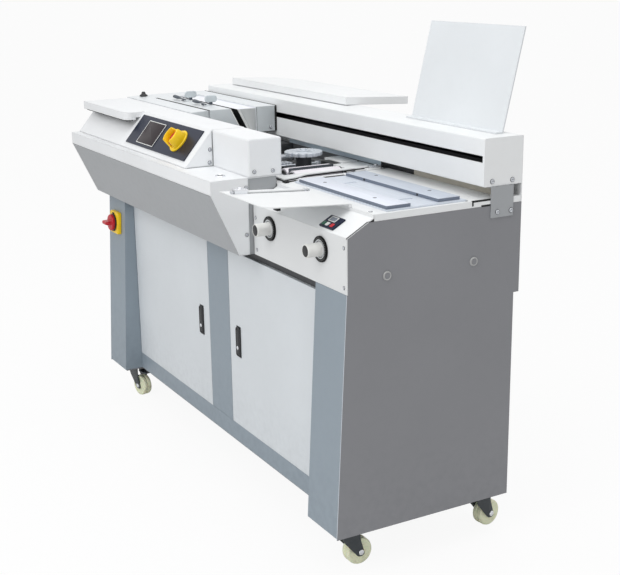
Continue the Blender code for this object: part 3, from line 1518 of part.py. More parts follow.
def cabinet_machinery():
    """Electrics box on the cabinet floor and the geared drive motor under the bay."""
    left = LEFT + BOX_FROM_LEFT
    low = BASE_Z + FLOOR_WALL + GAP
    rear = LOWER_DEPTH - SHEET - GAP
    box = pan("electrics_box", (left, rear - BOX_DEPTH, low), (left + BOX_WIDTH, rear, low + BOX_HEIGHT),
              (0, 1, 0), SHEET)
    link(box, DOOR_GREY)

    x = LEFT + DRIVE_FROM_LEFT
    seat = BAY_Z - SHEET - GAP
    half = DRIVE_GEARBOX / 2
    motor = block("drive_motor", (x, DRIVE_Y - half, seat - DRIVE_GEARBOX),
                  (x + DRIVE_GEARBOX, DRIVE_Y + half, seat))
    join(motor, rod("can", DRIVE_RADIUS, x + half, x + half + DRIVE_LENGTH, "X",
                    (DRIVE_Y, seat - half), MEDIUM))
    link(motor, DARK)


def doors():
    """Two pan doors, each with a lift handle set in it."""
    post_left = POST_OFFSET - POST_WIDTH / 2
    post_right = POST_OFFSET + POST_WIDTH / 2
    spans = {
        "left": (-LEG_INNER + DOOR_GAP, post_left - DOOR_GAP),
        "right": (post_right + DOOR_GAP, LEG_INNER - DOOR_GAP),
    }
    hinge_y = DOOR_PLANE + DOOR_AXIS_DEPTH
    low_z = RAIL_TOP + GAP
    for side, (start, end) in spans.items():
        low = (start, DOOR_PLANE, low_z)
        high = (end, DOOR_PLANE + DOOR_DEPTH, DOOR_TOP - DOOR_GAP)
        door = pan(side + "_door", low, high, (0, 1, 0), SHEET)
        handle_x = end - HANDLE_FROM_EDGE if side == "left" else start + HANDLE_FROM_EDGE
        half = HANDLE_WIDTH / 2
        rise = HANDLE_HEIGHT / 2
        hole_low = (handle_x - half - GAP, DOOR_PLANE - OVERRUN, HANDLE_Z - rise - HANDLE_GAP)
        hole_high = (handle_x + half + GAP, DOOR_PLANE + OVERRUN, HANDLE_Z + rise + HANDLE_GAP)
        cut(door, block("handle_hole", hole_low, hole_high))
        link(door, DOOR_GREY)
        settle_in_place(door)
        hinge_x = -LEG_INNER + DOOR_AXIS_INSET if side == "left" else LEG_INNER - DOOR_AXIS_INSET
        move_origin(door, (hinge_x, hinge_y, (low_z + DOOR_TOP) / 2))

        front = DOOR_PLANE - HANDLE_PROUD
        handle = block(side + "_door_handle", (handle_x - half, front, HANDLE_Z - rise),
                       (handle_x + half, front + HANDLE_THICKNESS, HANDLE_Z + rise))
        link(handle, BLACK)
        pivot_y = front + HANDLE_THICKNESS / 2
        move_origin(handle, (handle_x, pivot_y, HANDLE_Z + rise - HANDLE_PIVOT_DROP))
        carry(door, handle.name)


def wheel_profile():
    """Two-ridge nylon wheel with a through bore, from its upper side to its lower side."""
    half = WHEEL_WIDTH / 2
    edge = WHEEL_EDGE
    groove = WHEEL_GROOVE / 2
    deep = WHEEL_RADIUS - WHEEL_GROOVE_DEPTH
    proud = half + WHEEL_HUB_PROUD
    return [
        (WHEEL_BORE, proud),
        (WHEEL_HUB_RADIUS, proud),
        (WHEEL_HUB_RADIUS, half),
        (WHEEL_RADIUS - edge, half),
        (WHEEL_RADIUS, half - edge),
        (WHEEL_RADIUS, groove),
        (deep, groove / 2),
        (deep, -groove / 2),
        (WHEEL_RADIUS, -groove),
        (WHEEL_RADIUS, edge - half),
        (WHEEL_RADIUS - edge, -half),
        (WHEEL_HUB_RADIUS, -half),
        (WHEEL_HUB_RADIUS, -proud),
        (WHEEL_BORE, -proud),
        (WHEEL_BORE, proud),
    ]


def fork_mesh(name):
    """Fork built about its swivel axis, with its wheel trailing towards +Y."""
    inner = WHEEL_WIDTH / 2 + FORK_CLEARANCE
    outer = inner + FORK_WALL
    axle_z = WHEEL_RADIUS
    nose = FORK_NOSE
    cheek = [
        (-FORK_HALF_TOP, FORK_SLOT_TOP),
        (TRAIL - nose, axle_z - nose / 2),
        (TRAIL - nose / 2, axle_z - nose),
        (TRAIL + nose / 2, axle_z - nose),
        (TRAIL + nose, axle_z - nose / 2),
        (FORK_HALF_TOP, FORK_SLOT_TOP),
        (FORK_HALF_TOP, FORK_TOP_Z),
        (-FORK_HALF_TOP, FORK_TOP_Z),
    ]
    fork = prism(name, cheek, "X", -outer, outer)
    slot = block("wheel_slot", (-inner, -CROWN_RADIUS * 2, -OVERRUN),
                 (inner, TRAIL + WHEEL_RADIUS + OVERRUN, FORK_SLOT_TOP))
    crown = rod("crown", CROWN_RADIUS, FORK_TOP_Z - FORK_WALL, BASE_Z - GAP, "Z", (0, 0), MEDIUM)
    place = (TRAIL, axle_z)
    axle = rod("axle", AXLE_RADIUS, -outer - GAP, outer + GAP, "X", place, COARSE)
    heads = [rod("head", AXLE_HEAD_RADIUS, low, low + AXLE_HEAD + SHEET / 2, "X", place, COARSE)
             for low in (-outer - AXLE_HEAD, outer - SHEET / 2)]
    return join(cut(fork, slot), crown, axle, *heads)


def casters():
    """Four swivel casters: crown and fork, grooved wheel, and a brake pedal on the front two."""
    reach = RIGHT - CASTER_FROM_END
    places = {
        "front_right": (reach, CASTER_FRONT_Y),
        "front_left": (-reach, CASTER_FRONT_Y),
        "rear_right": (reach, LOWER_DEPTH - CASTER_FROM_REAR),
        "rear_left": (-reach, LOWER_DEPTH - CASTER_FROM_REAR),
    }
    fork_shape = shape_of(settle(fork_mesh("caster_fork")))
    fork_shape.transform(Matrix.Translation((0, 0, -BASE_Z)))
    wheel_shape = shape_of(frozen(turned("caster_wheel", wheel_profile(), MEDIUM)))
    wheel_shape.transform(Matrix.Rotation(math.pi / 2, 4, "Y"))
    half = PEDAL_WIDTH / 2
    pedal_shape = shape_of(block("pedal", (-half, 0, -PEDAL_THICKNESS / 2),
                                 (half, PEDAL_REACH, PEDAL_THICKNESS / 2)))
    for corner, (x, y) in places.items():
        turn = CASTER_TURN[corner]
        swivel = bpy.data.objects.new("swivel_" + corner, None)
        PARTS.objects.link(swivel)
        swivel.parent = ROOT
        swivel.location = (x, y, BASE_Z)
        swivel.rotation_euler = (0, 0, turn)
        fork = bpy.data.objects.new(corner + "_fork", fork_shape)
        PARTS.objects.link(fork)
        fork.parent = swivel
        wheel = bpy.data.objects.new(corner + "_wheel", wheel_shape)
        PARTS.objects.link(wheel)
        wheel.parent = swivel
        wheel.location = (0, TRAIL, WHEEL_RADIUS - BASE_Z)
        if corner.startswith("front"):
            pedal = bpy.data.objects.new(corner + "_brake_pedal", pedal_shape)
            PARTS.objects.link(pedal)
            pedal.parent = swivel
            pedal.location = (0, FORK_HALF_TOP + PEDAL_CLEARANCE, PEDAL_Z - BASE_Z)
    fork_shape.materials.append(BLACK)
    wheel_shape.materials.append(NYLON)
    pedal_shape.materials.append(BLACK)


end_panels()
front_legs()
door_frame()
cabinet_floor()
back_panel()
deck()
right_fascia()
adjusting_knobs()
counter()
console()
desk_and_hood()
lid()
control_panel()
emergency_stop()
main_switch()
rear_beam()
paper_tray()
paper_stand()
cover_table()
carriage()
carriage_fittings()
milling_head()
glue_station()
nipping_station()
cabinet_machinery()
doors()
casters()
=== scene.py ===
"""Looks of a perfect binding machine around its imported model: view, light, finishes and fine pieces.

Sizes are metres in the machine's own frame, whose X is 0 in the cabinet's middle and whose Y is 0 at the
right fascia's front. spot() moves a place from there to the model's frame.
"""
import json
import math

import bmesh
import bpy
import numpy as np
from mathutils import Matrix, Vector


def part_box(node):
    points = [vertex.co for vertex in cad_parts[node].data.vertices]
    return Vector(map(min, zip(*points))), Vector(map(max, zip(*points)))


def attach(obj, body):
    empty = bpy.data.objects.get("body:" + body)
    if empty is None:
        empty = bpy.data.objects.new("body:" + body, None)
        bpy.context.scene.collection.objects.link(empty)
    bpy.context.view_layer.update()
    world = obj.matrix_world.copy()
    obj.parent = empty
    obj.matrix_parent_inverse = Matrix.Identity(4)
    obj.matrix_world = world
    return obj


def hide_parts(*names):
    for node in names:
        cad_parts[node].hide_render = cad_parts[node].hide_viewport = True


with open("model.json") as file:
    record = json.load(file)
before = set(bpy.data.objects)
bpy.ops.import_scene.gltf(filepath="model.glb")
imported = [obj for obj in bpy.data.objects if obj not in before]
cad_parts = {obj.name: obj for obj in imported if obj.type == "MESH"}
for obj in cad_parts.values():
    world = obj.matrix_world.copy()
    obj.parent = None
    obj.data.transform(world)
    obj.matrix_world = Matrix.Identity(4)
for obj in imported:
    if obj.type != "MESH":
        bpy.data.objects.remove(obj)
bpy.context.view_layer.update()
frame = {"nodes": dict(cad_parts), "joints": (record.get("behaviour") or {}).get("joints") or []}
RIGHT, LEFT = 0.685, -0.685
SHIFT = np.array((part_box("rear_beam")[1].x - RIGHT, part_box("right_fascia")[0].y, 0.0))
ALONG, BACK, RISE = np.eye(3)
FASCIA_BOTTOM, FASCIA_EDGE = 0.632, 0.7486
FLARE, FLARE_HEIGHT = 0.028, 0.532
DECK_TOP, BAY_FLOOR, CARRIAGE_TOP = 0.789, 0.7505, 0.898


def spot(x, y, z):
    """A place in the machine's frame, in the model's frame."""
    return np.array((x, y, z), float) + SHIFT


def low(node):
    """A node's lowest corner in the machine's frame."""
    return np.array(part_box(node)[0], float) - SHIFT


def high(node):
    """A node's highest corner in the machine's frame."""
    return np.array(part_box(node)[1], float) - SHIFT


# ---------------------------------------------------------------- finishes

def tone(red, green, blue):
    """A colour of 0 to 255 as linear light: ((c + 0.055) / 1.055) ^ 2.4."""
    shares = np.array((red, green, blue)) / 255
    light = np.where(shares < 0.04045, shares / 12.92, ((shares + 0.055) / 1.055) ** 2.4)
    return (*light.tolist(), 1.0)


def shade(colour, factor):
    return (*[min(1.0, part * factor) for part in colour[:3]], 1.0)


def arithmetic(operation, swapped=False):
    """A method of a link that adds one Math node."""
    def apply(self, *others):
        values = (*others, self) if swapped else (self, *others)
        return self.nodes.node("Math", dict(enumerate(values)), operation=operation)

    return apply


class Link:
    """A socket in arithmetic: an expression on links adds its Math nodes."""

    __add__ = __radd__ = arithmetic("ADD")
    __sub__ = arithmetic("SUBTRACT")
    __rsub__ = arithmetic("SUBTRACT", swapped=True)
    __mul__ = __rmul__ = arithmetic("MULTIPLY")
    __pow__ = arithmetic("POWER")
    __lt__ = arithmetic("LESS_THAN")
    __gt__ = arithmetic("GREATER_THAN")

    def __init__(self, nodes, socket):
        self.nodes = nodes
        self.socket = socket


class Nodes:
    """A node tree that is built from values and links."""

    def __init__(self, tree):
        self.tree = tree

    def join(self, value, socket):
        if isinstance(value, Link):
            self.tree.links.new(value.socket, socket)
        else:
            socket.default_value = value

    def node(self, kind, values=None, out=0, **settings):
        """Any node: its settings come first, then the values or links of its sockets."""
        made = self.tree.nodes.new("ShaderNode" + kind)
        for key, value in settings.items():
            setattr(made, key, value)
        for key, value in (values or {}).items():
            self.join(value, made.inputs[key])
        return Link(self, made.outputs[out])

    def mix(self, factor, first, second):
        return self.node("Mix", {0: factor, 6: first, 7: second}, out=2, data_type="RGBA")

    def limit(self, value, start=0.0, end=1.0):
        """Run a value from 0 at start to 1 at end, and no further."""
        return self.node("MapRange", {0: value, 1: start, 2: end})

    def place(self, centre=(0, 0, 0), stretch=(1, 1, 1)):
        """Object coordinates about a centre, stretched."""
        start = self.node("TexCoord", out="Object")
        move = tuple(-c * s for c, s in zip(centre, stretch))
        return self.node("Mapping", {"Vector": start, "Location": move, "Scale": stretch})

    def noise(self, place, scale, detail=2.0):
        return self.node("TexNoise", {"Vector": place, "Scale": scale, "Detail": detail})

    def parts(self, vector):
        """The X, Y and Z links of a vector."""
        first = self.node("SeparateXYZ", {0: vector})
        return [Link(self, output) for output in first.socket.node.outputs]

    def edges(self, radius):
        """Rounded normal, and a mask of the edges, where it leaves the flat normal."""
        rounded = self.node("Bevel", {"Radius": radius}, samples=4)
        flat = self.node("NewGeometry", out="Normal")
        facing = self.node("VectorMath", {0: rounded, 1: flat}, out="Value", operation="DOT_PRODUCT")
        return rounded, self.limit((1 - facing) * 4)


class Look(Nodes):
    """A finish: a Principled shader, its constants, and the nodes that vary it over a surface."""

    slot = "black_plastic"

    def __init__(self, name, colour, roughness=0.4, metallic=0.0, **constants):
        self.material = bpy.data.materials.new(name)
        self.material.use_nodes = True
        self.material.diffuse_color = colour
        super().__init__(self.material.node_tree)
        self.shader = self.tree.nodes["Principled BSDF"]
        self.set("Base Color", colour)
        self.set("Roughness", roughness)
        self.set("Metallic", metallic)
        for socket, value in constants.items():
            self.set(socket.replace("_", " "), value)

    def set(self, socket, value):
        self.join(value, self.shader.inputs[socket])

    def bump(self, height, strength, distance, **normal):
        """Bump of a height, on a rounded normal if one is given as Normal."""
        values = {"Height": height, "Strength": strength, "Distance": distance, **normal}
        self.set("Normal", self.node("Bump", values))


def enamel(name, colour, roughness, edge=0.0018, soil=0.0, painted_shade_below=None):
    """Baked enamel on sheet steel: fine orange peel, faint clouds, rubbed edges, dust low down if soiled, and, if a
    height is given, painted shade that greys the front under it."""
    look = Look(name, colour, roughness)
    place = look.place()
    rounded, rim = look.edges(edge)
    cloud = look.noise(place, 4.0, 3.0)
    fine = look.noise(place, 55.0, 3.0)
    base = look.mix(look.limit(cloud, 0.35, 0.7), shade(colour, 0.965), shade(colour, 1.02))
    base = look.mix(look.limit(fine, 0.52, 0.75) * 0.12, base, shade(colour, 0.9))
    base = look.mix(rim * 0.3, base, shade(colour, 1.12))
    height = look.parts(place)[2]
    if soil:
        dust = look.limit(height, 0.3, 0.1) * look.limit(fine, 0.35, 0.65) * soil
        base = look.mix(dust, base, shade(colour, 0.62))
    # painted shade: the front under the given height is greyed, as it gets less light than the top
    if painted_shade_below:
        base = look.mix(look.limit(height, painted_shade_below + 0.0008, painted_shade_below - 0.0008), base, shade(colour, 0.86))
    look.set("Base Color", base)
    dulling = look.limit(cloud, 0.2, 0.8) * 0.1 + look.limit(fine, 0.4, 0.7) * 0.05
    look.set("Roughness", dulling + roughness - 0.07)
    look.bump(look.noise(place, 620.0, 2.0), 0.1, 0.0006, Normal=rounded)
    return look


def brushed(name, colour, roughness, grain=(8, 420, 420), metallic=1.0, strength=0.01):
    """Brushed or ground metal: streaks along one axis, from noise drawn out on it."""
    look = Look(name, colour, roughness, metallic)
    rounded, rim = look.edges(0.0007)
    streak = look.noise(look.place(stretch=grain), 1.0, 3.0)
    cloud = look.noise(look.place(), 9.0, 3.0)
    base = look.mix(look.limit(streak, 0.25, 0.75), shade(colour, 0.94), shade(colour, 1.04))
    base = look.mix(look.limit(cloud, 0.5, 0.75) * 0.12, base, shade(colour, 0.8))
    look.set("Base Color", look.mix(rim * 0.4, base, shade(colour, 1.25)))
    dulling = look.limit(streak, 0.2, 0.8) * 0.08 + look.limit(cloud, 0.4, 0.8) * 0.06
    look.set("Roughness", dulling + roughness - 0.05)
    look.bump(streak, strength, 0.0004, Normal=rounded)
    return look


def moulded(name, colour, roughness=0.45, grain=900.0, depth=0.15):
    """Moulded plastic: fine spark-eroded grain and faintly rubbed edges."""
    look = Look(name, colour, roughness)
    place = look.place()
    rounded, rim = look.edges(0.0008)
    cloud = look.noise(place, 30.0, 3.0)
    base = look.mix(look.limit(cloud, 0.35, 0.7), shade(colour, 0.9), shade(colour, 1.06))
    look.set("Base Color", look.mix(rim * 0.35, base, shade(colour, 1.45)))
    look.set("Roughness", look.limit(cloud, 0.3, 0.7) * 0.1 + roughness - 0.05)
    look.bump(look.noise(place, grain, 2.0), depth, 0.0004, Normal=rounded)
    return look


def nylon(name, colour):
    """Cast nylon wheel: cream, dulled by grey dirt in patches."""
    look = Look(name, colour, 0.4, Subsurface_Weight=0.05)
    place = look.place()
    cloud = look.noise(place, 60.0, 4.0)
    speck = look.noise(place, 420.0, 3.0)
    dirt = look.limit(cloud, 0.5, 0.72) * 0.25 + look.limit(speck, 0.58, 0.72) * 0.2
    look.set("Base Color", look.mix(dirt, colour, tone(122, 120, 100)))
    look.set("Roughness", dirt * 0.3 + 0.36)
    look.bump(speck, 0.1, 0.0006)
    return look


def dial(name, centre):
    """Dial: a light annulus inside a black ring that carries white ticks round its axis."""
    look = Look(name, tone(22, 23, 26), 0.4, Specular_IOR_Level=0.12)
    x, y, z = look.parts(look.place(tuple(centre)))
    radius = (x * x + z * z) ** 0.5
    angle = look.node("Math", {0: z, 1: x}, operation="ARCTAN2")
    turn = look.node("Math", {0: angle * (30 / math.tau)}, operation="FRACT")
    band = (radius > 0.0222) * (radius < 0.0246)
    tick = (turn < 0.12) * band
    fine = look.noise(look.place(), 300.0)
    light = (radius < 0.0204) - (radius < 0.0176) + (radius < 0.0164)
    base = look.mix(light, tone(10, 11, 13), tone(206, 209, 211))
    base = look.mix(tick, base, tone(170, 172, 172))
    look.set("Base Color", look.mix(look.limit(fine, 0.5, 0.8) * 0.3, base, tone(60, 61, 64)))
    look.bump(fine, 0.05, 0.0004)
    return look


def glossy_panel(name, colour):
    """Printed panel under clear film: even dark colour, faint dust and a soft gloss."""
    look = Look(name, colour, 0.3, Specular_IOR_Level=0.18)
    place = look.place()
    cloud = look.noise(place, 7.0, 3.0)
    speck = look.noise(place, 500.0, 2.0)
    base = look.mix(look.limit(cloud, 0.35, 0.7), shade(colour, 0.85), shade(colour, 1.25))
    look.set("Base Color", look.mix(look.limit(speck, 0.62, 0.75) * 0.2, base, shade(colour, 3.0)))
    look.set("Roughness", look.limit(cloud, 0.3, 0.7) * 0.08 + 0.3)
    look.bump(speck, 0.02, 0.0003)
    return look


WHITE = enamel("white_enamel", tone(236, 238, 239), 0.4)
# painted shade: the fascia's front under its edge is greyed
FASCIA_WHITE = enamel("fascia_enamel", tone(236, 238, 239), 0.4, painted_shade_below=FASCIA_EDGE - 0.0001)
STAND_GREY = enamel("stand_grey", tone(224, 228, 231), 0.42, edge=0.001)
DOOR_GREY = enamel("pale_grey_enamel", tone(214, 219, 223), 0.46, soil=0.2)
BLUE_GREY = enamel("blue_grey_enamel", tone(141, 153, 163), 0.46, soil=0.2)
END_GREY = enamel("end_panel_grey", tone(133, 134, 138), 0.5, soil=0.15)
# painted highlight for the rounded front edges of the end panels
EDGE_HIGHLIGHT = enamel("edge_highlight_grey", tone(208, 216, 224), 0.46, edge=0.0004)
SKIRT_GREY = enamel("skirt_grey", tone(162, 165, 168), 0.5)
SILVER = enamel("clamp_silver", tone(224, 228, 231), 0.38, edge=0.0012)
# painted light: a lighter copy of the clamp's enamel for the jaw, against the shade it sits in
JAW_SILVER_LIT = enamel("jaw_silver_painted_light", tone(242, 244, 250), 0.38, edge=0.0012)
# painted shade: grey copies of the clamp's enamel for its end faces, which get less light
CLAMP_END_SHADE = enamel("clamp_end_shade_grey", tone(196, 202, 205), 0.42, edge=0.0005)
JAW_END_SHADE = enamel("jaw_end_shade_grey", tone(216, 219, 219), 0.42, edge=0.0005)
SEAM = enamel("seam_grey", tone(140, 143, 144), 0.55, edge=0.0004)
SOFT_WHITE = enamel("soft_edged_enamel", tone(234, 236, 238), 0.4, edge=0.0042)
# painted shade: beige for the shaded strip under the beam
BEIGE_SHADE = enamel("beige_painted_shade", tone(200, 194, 180), 0.5, edge=0.0008)
# painted light: a blue-grey lightened against the shade under the beam
WALL_GREY_LIT = enamel("wall_grey_painted_light", tone(208, 224, 236), 0.45, edge=0.0008)
DARK = enamel("dark_steel", tone(52, 54, 58), 0.5, edge=0.001)
STEEL = brushed("bright_steel", tone(214, 218, 224), 0.34)
CHROME = brushed("polished_steel", tone(232, 234, 238), 0.2)
TABLE_STEEL = brushed("table_steel", tone(214, 221, 231), 0.42, (6, 240, 240), 0.25)
PLATE = brushed("ground_plate", tone(228, 233, 244), 0.38, (8, 260, 260), 0.25)
# painted shade: a darker copy of the ground plate's finish for the rear nipping plate
PLATE_SHADED = brushed("ground_plate_painted_shade", tone(199, 207, 219), 0.38, (8, 260, 260), 0.25)
PLATE_EDGE = brushed("plate_edge", tone(116, 125, 140), 0.45, (10, 300, 300), 0.3, 0.02)
SCREW = brushed("screw_steel", tone(198, 201, 206), 0.26, (200, 200, 200), 0.7)
CUTTER_STEEL = brushed("cutter_steel", tone(206, 212, 219), 0.38, (60, 60, 60), 0.35, 0.004)
ROLLER = brushed("roller_sleeve", tone(238, 234, 240), 0.34, (300, 20, 300), 0.3, 0.02)
ZINC = brushed("zinc_plate", tone(84, 88, 94), 0.4, (60, 60, 60), 0.8, 0.08)
FORK = enamel("fork_black", tone(52, 58, 62), 0.36, edge=0.0008)
BLACK = moulded("black_plastic", tone(30, 31, 34))
RUBBER = moulded("black_rubber", tone(20, 20, 22), 0.75, 500.0, 0.3)
YELLOW = moulded("safety_yellow", tone(252, 208, 12), 0.38)
RED = moulded("safety_red", tone(196, 18, 34), 0.34)
GREEN = moulded("green_key", tone(24, 92, 66), 0.4)
WHITE_KEY = moulded("white_key", tone(236, 238, 236), 0.4)
TAB_GREY = moulded("smoke_tab", tone(202, 210, 214), 0.22)
GRIP = moulded("speckled_ivory", tone(232, 232, 229), 0.5, 500.0, 0.25)
LEVER_GREY = moulded("lever_grey", tone(66, 74, 84), 0.4)
PLUG = moulded("plug_grey", tone(176, 177, 176), 0.4)
NYLON = nylon("cream_nylon", tone(238, 240, 208))
NAVY = glossy_panel("navy_panel", tone(26, 33, 52))
SCREEN = glossy_panel("screen_glass", tone(42, 34, 38))
LCD = glossy_panel("display_glass", tone(128, 134, 144))

CAD_FINISHES = {
    SOFT_WHITE: ("console_tray", "desk_cover", "hood", "lid"),
    WHITE: ("deck", "rear_beam", "rear_tray", "cover_table"),
    FASCIA_WHITE: ("right_fascia",),
    STAND_GREY: ("paper_stand",),
    DOOR_GREY: ("left_door", "right_door", "electrics_box"),
    BLUE_GREY: ("right_front_leg", "left_front_leg", "centre_post", "bottom_rail"),
    END_GREY: ("right_end_panel", "left_end_panel", "cabinet_floor", "back_panel"),
    SKIRT_GREY: ("console_skirt", "beam_bracket"),
    # top_rail gets dark steel as painted shade: it is the blue-grey frame, dark in the shadow of its recess
    DARK: ("top_rail", "milling_motor", "drive_motor", "guide_rail"),
    TABLE_STEEL: ("nipping_table",),
    STEEL: ("glue_tank",),
    SILVER: ("carriage",),
    JAW_SILVER_LIT: ("clamp_jaw",),
    NAVY: ("control_panel",),
}
for finish, names in CAD_FINISHES.items():
    for name in names:
        for holder in frame["nodes"][name].material_slots:
            holder.material = finish.material

# the record's slot of each finish that is on added pieces and isn't black plastic
SLOTS = {
    "white_enamel": (WHITE, WHITE_KEY, SEAM, GRIP, BEIGE_SHADE),
    "blue_grey_enamel": (WALL_GREY_LIT,),
    "end_panel_grey": (END_GREY, EDGE_HIGHLIGHT, PLUG),
    "clamp_silver": (SILVER, TAB_GREY),
    "bright_steel": (STEEL, SCREW, CHROME, ZINC, PLATE, PLATE_SHADED, PLATE_EDGE, CUTTER_STEEL, ROLLER),
    "dark_steel": (DARK,),
    "black_steel": (FORK,),
    "navy_panel": (SCREEN, LCD),
    "safety_yellow": (YELLOW,),
    "safety_red": (RED,),
    "cream_nylon": (NYLON,),
}
for slot, finishes in SLOTS.items():
    for finish in finishes:
        finish.slot = slot


# ---------------------------------------------------------------- shapes

def soften(line, radius, steps=4, closed=True):
    """Round a line's corners: each becomes (1-t)^2 a + 2t(1-t) c + t^2 b between points at the radius from it."""
    line = np.array(line, float)
    corner = line if closed else line[1:-1]
    before = np.roll(line, 1, 0) if closed else line[:-2]
    after = np.roll(line, -1, 0) if closed else line[2:]
    reach = np.broadcast_to(np.array(radius, float), len(corner))[:, None]

    def towards(other):
        way = other - corner
        return corner + way * np.minimum(reach / np.linalg.norm(way, axis=1)[:, None], 0.499)

    t = np.linspace(0, 1, steps + 1)[None, :, None]
    before, middle, after = towards(before)[:, None], corner[:, None], towards(after)[:, None]
    curve = (1 - t) ** 2 * before + 2 * t * (1 - t) * middle + t**2 * after
    curve = curve.reshape(-1, line.shape[1])
    return curve if closed else np.concatenate((line[:1], curve, line[-1:]))


def oblong(width, height, radius, steps=4):
    """Rounded rectangle about the middle, counterclockwise."""
    x, y = width / 2, height / 2
    return soften(((-x, -y), (x, -y), (x, y), (-x, y)), radius, steps)


def loft(rings, caps=True):
    """Skin over closed rings (rows x columns x 3), with a flat face on the first and the last."""
    rows, columns = rings.shape[:2]
    row = np.arange(rows - 1)[:, None] * columns
    here = np.arange(columns)[None, :]
    beside = (here + 1) % columns
    faces = np.stack((row + here, row + beside, row + columns + beside, row + columns + here), -1)
    faces = faces.reshape(-1, 4).tolist()
    if caps:
        faces += [list(range(columns))[::-1], list(range((rows - 1) * columns, rows * columns))]
    return rings.reshape(-1, 3), faces


def lathe(profile, segments=48, bend=None):
    """Profile of (radius, height) turned about Z: (r cos t, r sin t, h), r being bent by a factor of t if given."""
    radius, height = np.array(profile, float).T
    turn = np.linspace(0, math.tau, segments, endpoint=False)
    swell = np.ones(segments) if bend is None else bend(turn)
    across = radius[:, None] * swell
    up = np.broadcast_to(height[:, None], across.shape)
    return loft(np.stack((across * np.cos(turn), across * np.sin(turn), up), -1), caps=False)


def slab(outline, section):
    """Flat-ended body: the outline drawn in by an inset, along its outward normal, at each height."""
    outline = np.array(outline, float)
    way = np.roll(outline, -1, 0) - np.roll(outline, 1, 0)
    normal = np.stack((way[:, 1], -way[:, 0]), -1) / np.linalg.norm(way, axis=1)[:, None]
    inset, height = np.array(section, float).T
    flat = outline[None] - normal[None] * inset[:, None, None]
    up = np.broadcast_to(height[:, None, None], (*flat.shape[:2], 1))
    return loft(np.concatenate((flat, up), -1))


def plate(outline, thickness, edge):
    """Slab with softened edges on both faces."""
    section = ((edge, 0), (edge * 0.3, edge * 0.3), (0, edge), (0, thickness - edge),
               (edge * 0.3, thickness - edge * 0.3), (edge, thickness))
    return slab(outline, section)


def box(start, end, edge):
    """Box between two corners with softened edges."""
    start, end = np.minimum(start, end), np.maximum(start, end)
    size = end - start
    points, faces = plate(oblong(size[0], size[1], edge, 3), size[2], edge)
    return points + (start + end) / 2 - (0, 0, size[2] / 2), faces


def block(start, end, edge):
    """Box between two places in the machine's frame."""
    return box(spot(*start), spot(*end), edge)


def tube(path, radius, flat=1.0):
    """Round bar along a path: each ring is path + r (cos t side + flat sin t lift), capped."""
    path = np.array(path, float)
    way = np.gradient(path, axis=0)
    way = way / np.linalg.norm(way, axis=1)[:, None]
    side = np.cross(way, RISE)
    side = side / np.linalg.norm(side, axis=1)[:, None]
    lift = np.cross(side, way)
    turn = np.linspace(0, math.tau, 16, endpoint=False)
    reach = np.broadcast_to(np.array(radius, float), len(path))[:, None, None]
    ring = np.cos(turn)[None, :, None] * side[:, None] + flat * np.sin(turn)[None, :, None] * lift[:, None]
    return loft(path[:, None] + reach * ring)


def folded(line, thickness, start, end):
    """Folded sheet in the machine's frame: a line in Y and Z, thickened to its left, carried along X."""
    line = np.array(line, float)
    way = np.gradient(line, axis=0)
    way = way / np.linalg.norm(way, axis=1)[:, None]
    left = np.stack((-way[:, 1], way[:, 0]), -1)
    outline = np.concatenate((line, (line + left * thickness)[::-1]))
    rings = [np.concatenate((np.full((len(outline), 1), x), outline), 1) for x in (start, end)]
    return loft(np.stack(rings) + SHIFT)


def moved(part, at, out=RISE, up=BACK):
    """A part turned so that its +Z points out and its +Y up, then moved: x X + y Y + z Z + place."""
    points, faces = part
    z = np.array(out, float) / np.linalg.norm(out)
    x = np.cross(np.array(up, float), z)
    x = x / np.linalg.norm(x)
    return points @ np.array((x, np.cross(z, x), z)) + np.array(at, float), faces


def turned(profile, radius, segments, steps=3):
    """Lathe of an open profile with its corners rounded."""
    return lathe(soften(profile, radius, steps, closed=False), segments)


def around(radius, turn):
    """Points at a radius and at angles: (r cos t, r sin t)."""
    return np.stack((radius * np.cos(turn), radius * np.sin(turn)), -1)


def frame_ring(outer, inner, height):
    """Raised frame between two outlines: up outside, across and down inside."""
    steps = ((outer, 0), (outer, height), (inner, height), (inner, 0), (outer, 0))
    rings = [np.concatenate((line, np.full((len(line), 1), level)), 1) for line, level in steps]
    return loft(np.stack(rings), caps=False)


def piece(name, look, parts, body="machine", stands_for=(), slot=None, crease=34):
    """One object from closed parts: doubles merged, faces outwards, smooth up to a crease angle."""
    slot = slot or look.slot
    counts = np.cumsum([0] + [len(points) for points, faces in parts])
    faces = [[corner + start for corner in face] for start, (points, group) in zip(counts, parts) for face in group]
    mesh = bpy.data.meshes.new(name)
    mesh.from_pydata(np.concatenate([points for points, group in parts]).tolist(), [], faces)
    shape = bmesh.new()
    shape.from_mesh(mesh)
    bmesh.ops.remove_doubles(shape, verts=shape.verts, dist=2e-6)
    bmesh.ops.recalc_face_normals(shape, faces=shape.faces)
    shape.to_mesh(mesh)
    shape.free()
    mesh.shade_smooth()
    mesh.set_sharp_from_angle(angle=math.radians(crease))
    mesh.materials.append(look.material)
    thing = bpy.data.objects.new(name, mesh)
    bpy.context.scene.collection.objects.link(thing)
    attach(thing, body)
    if stands_for:
        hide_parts(*stands_for)


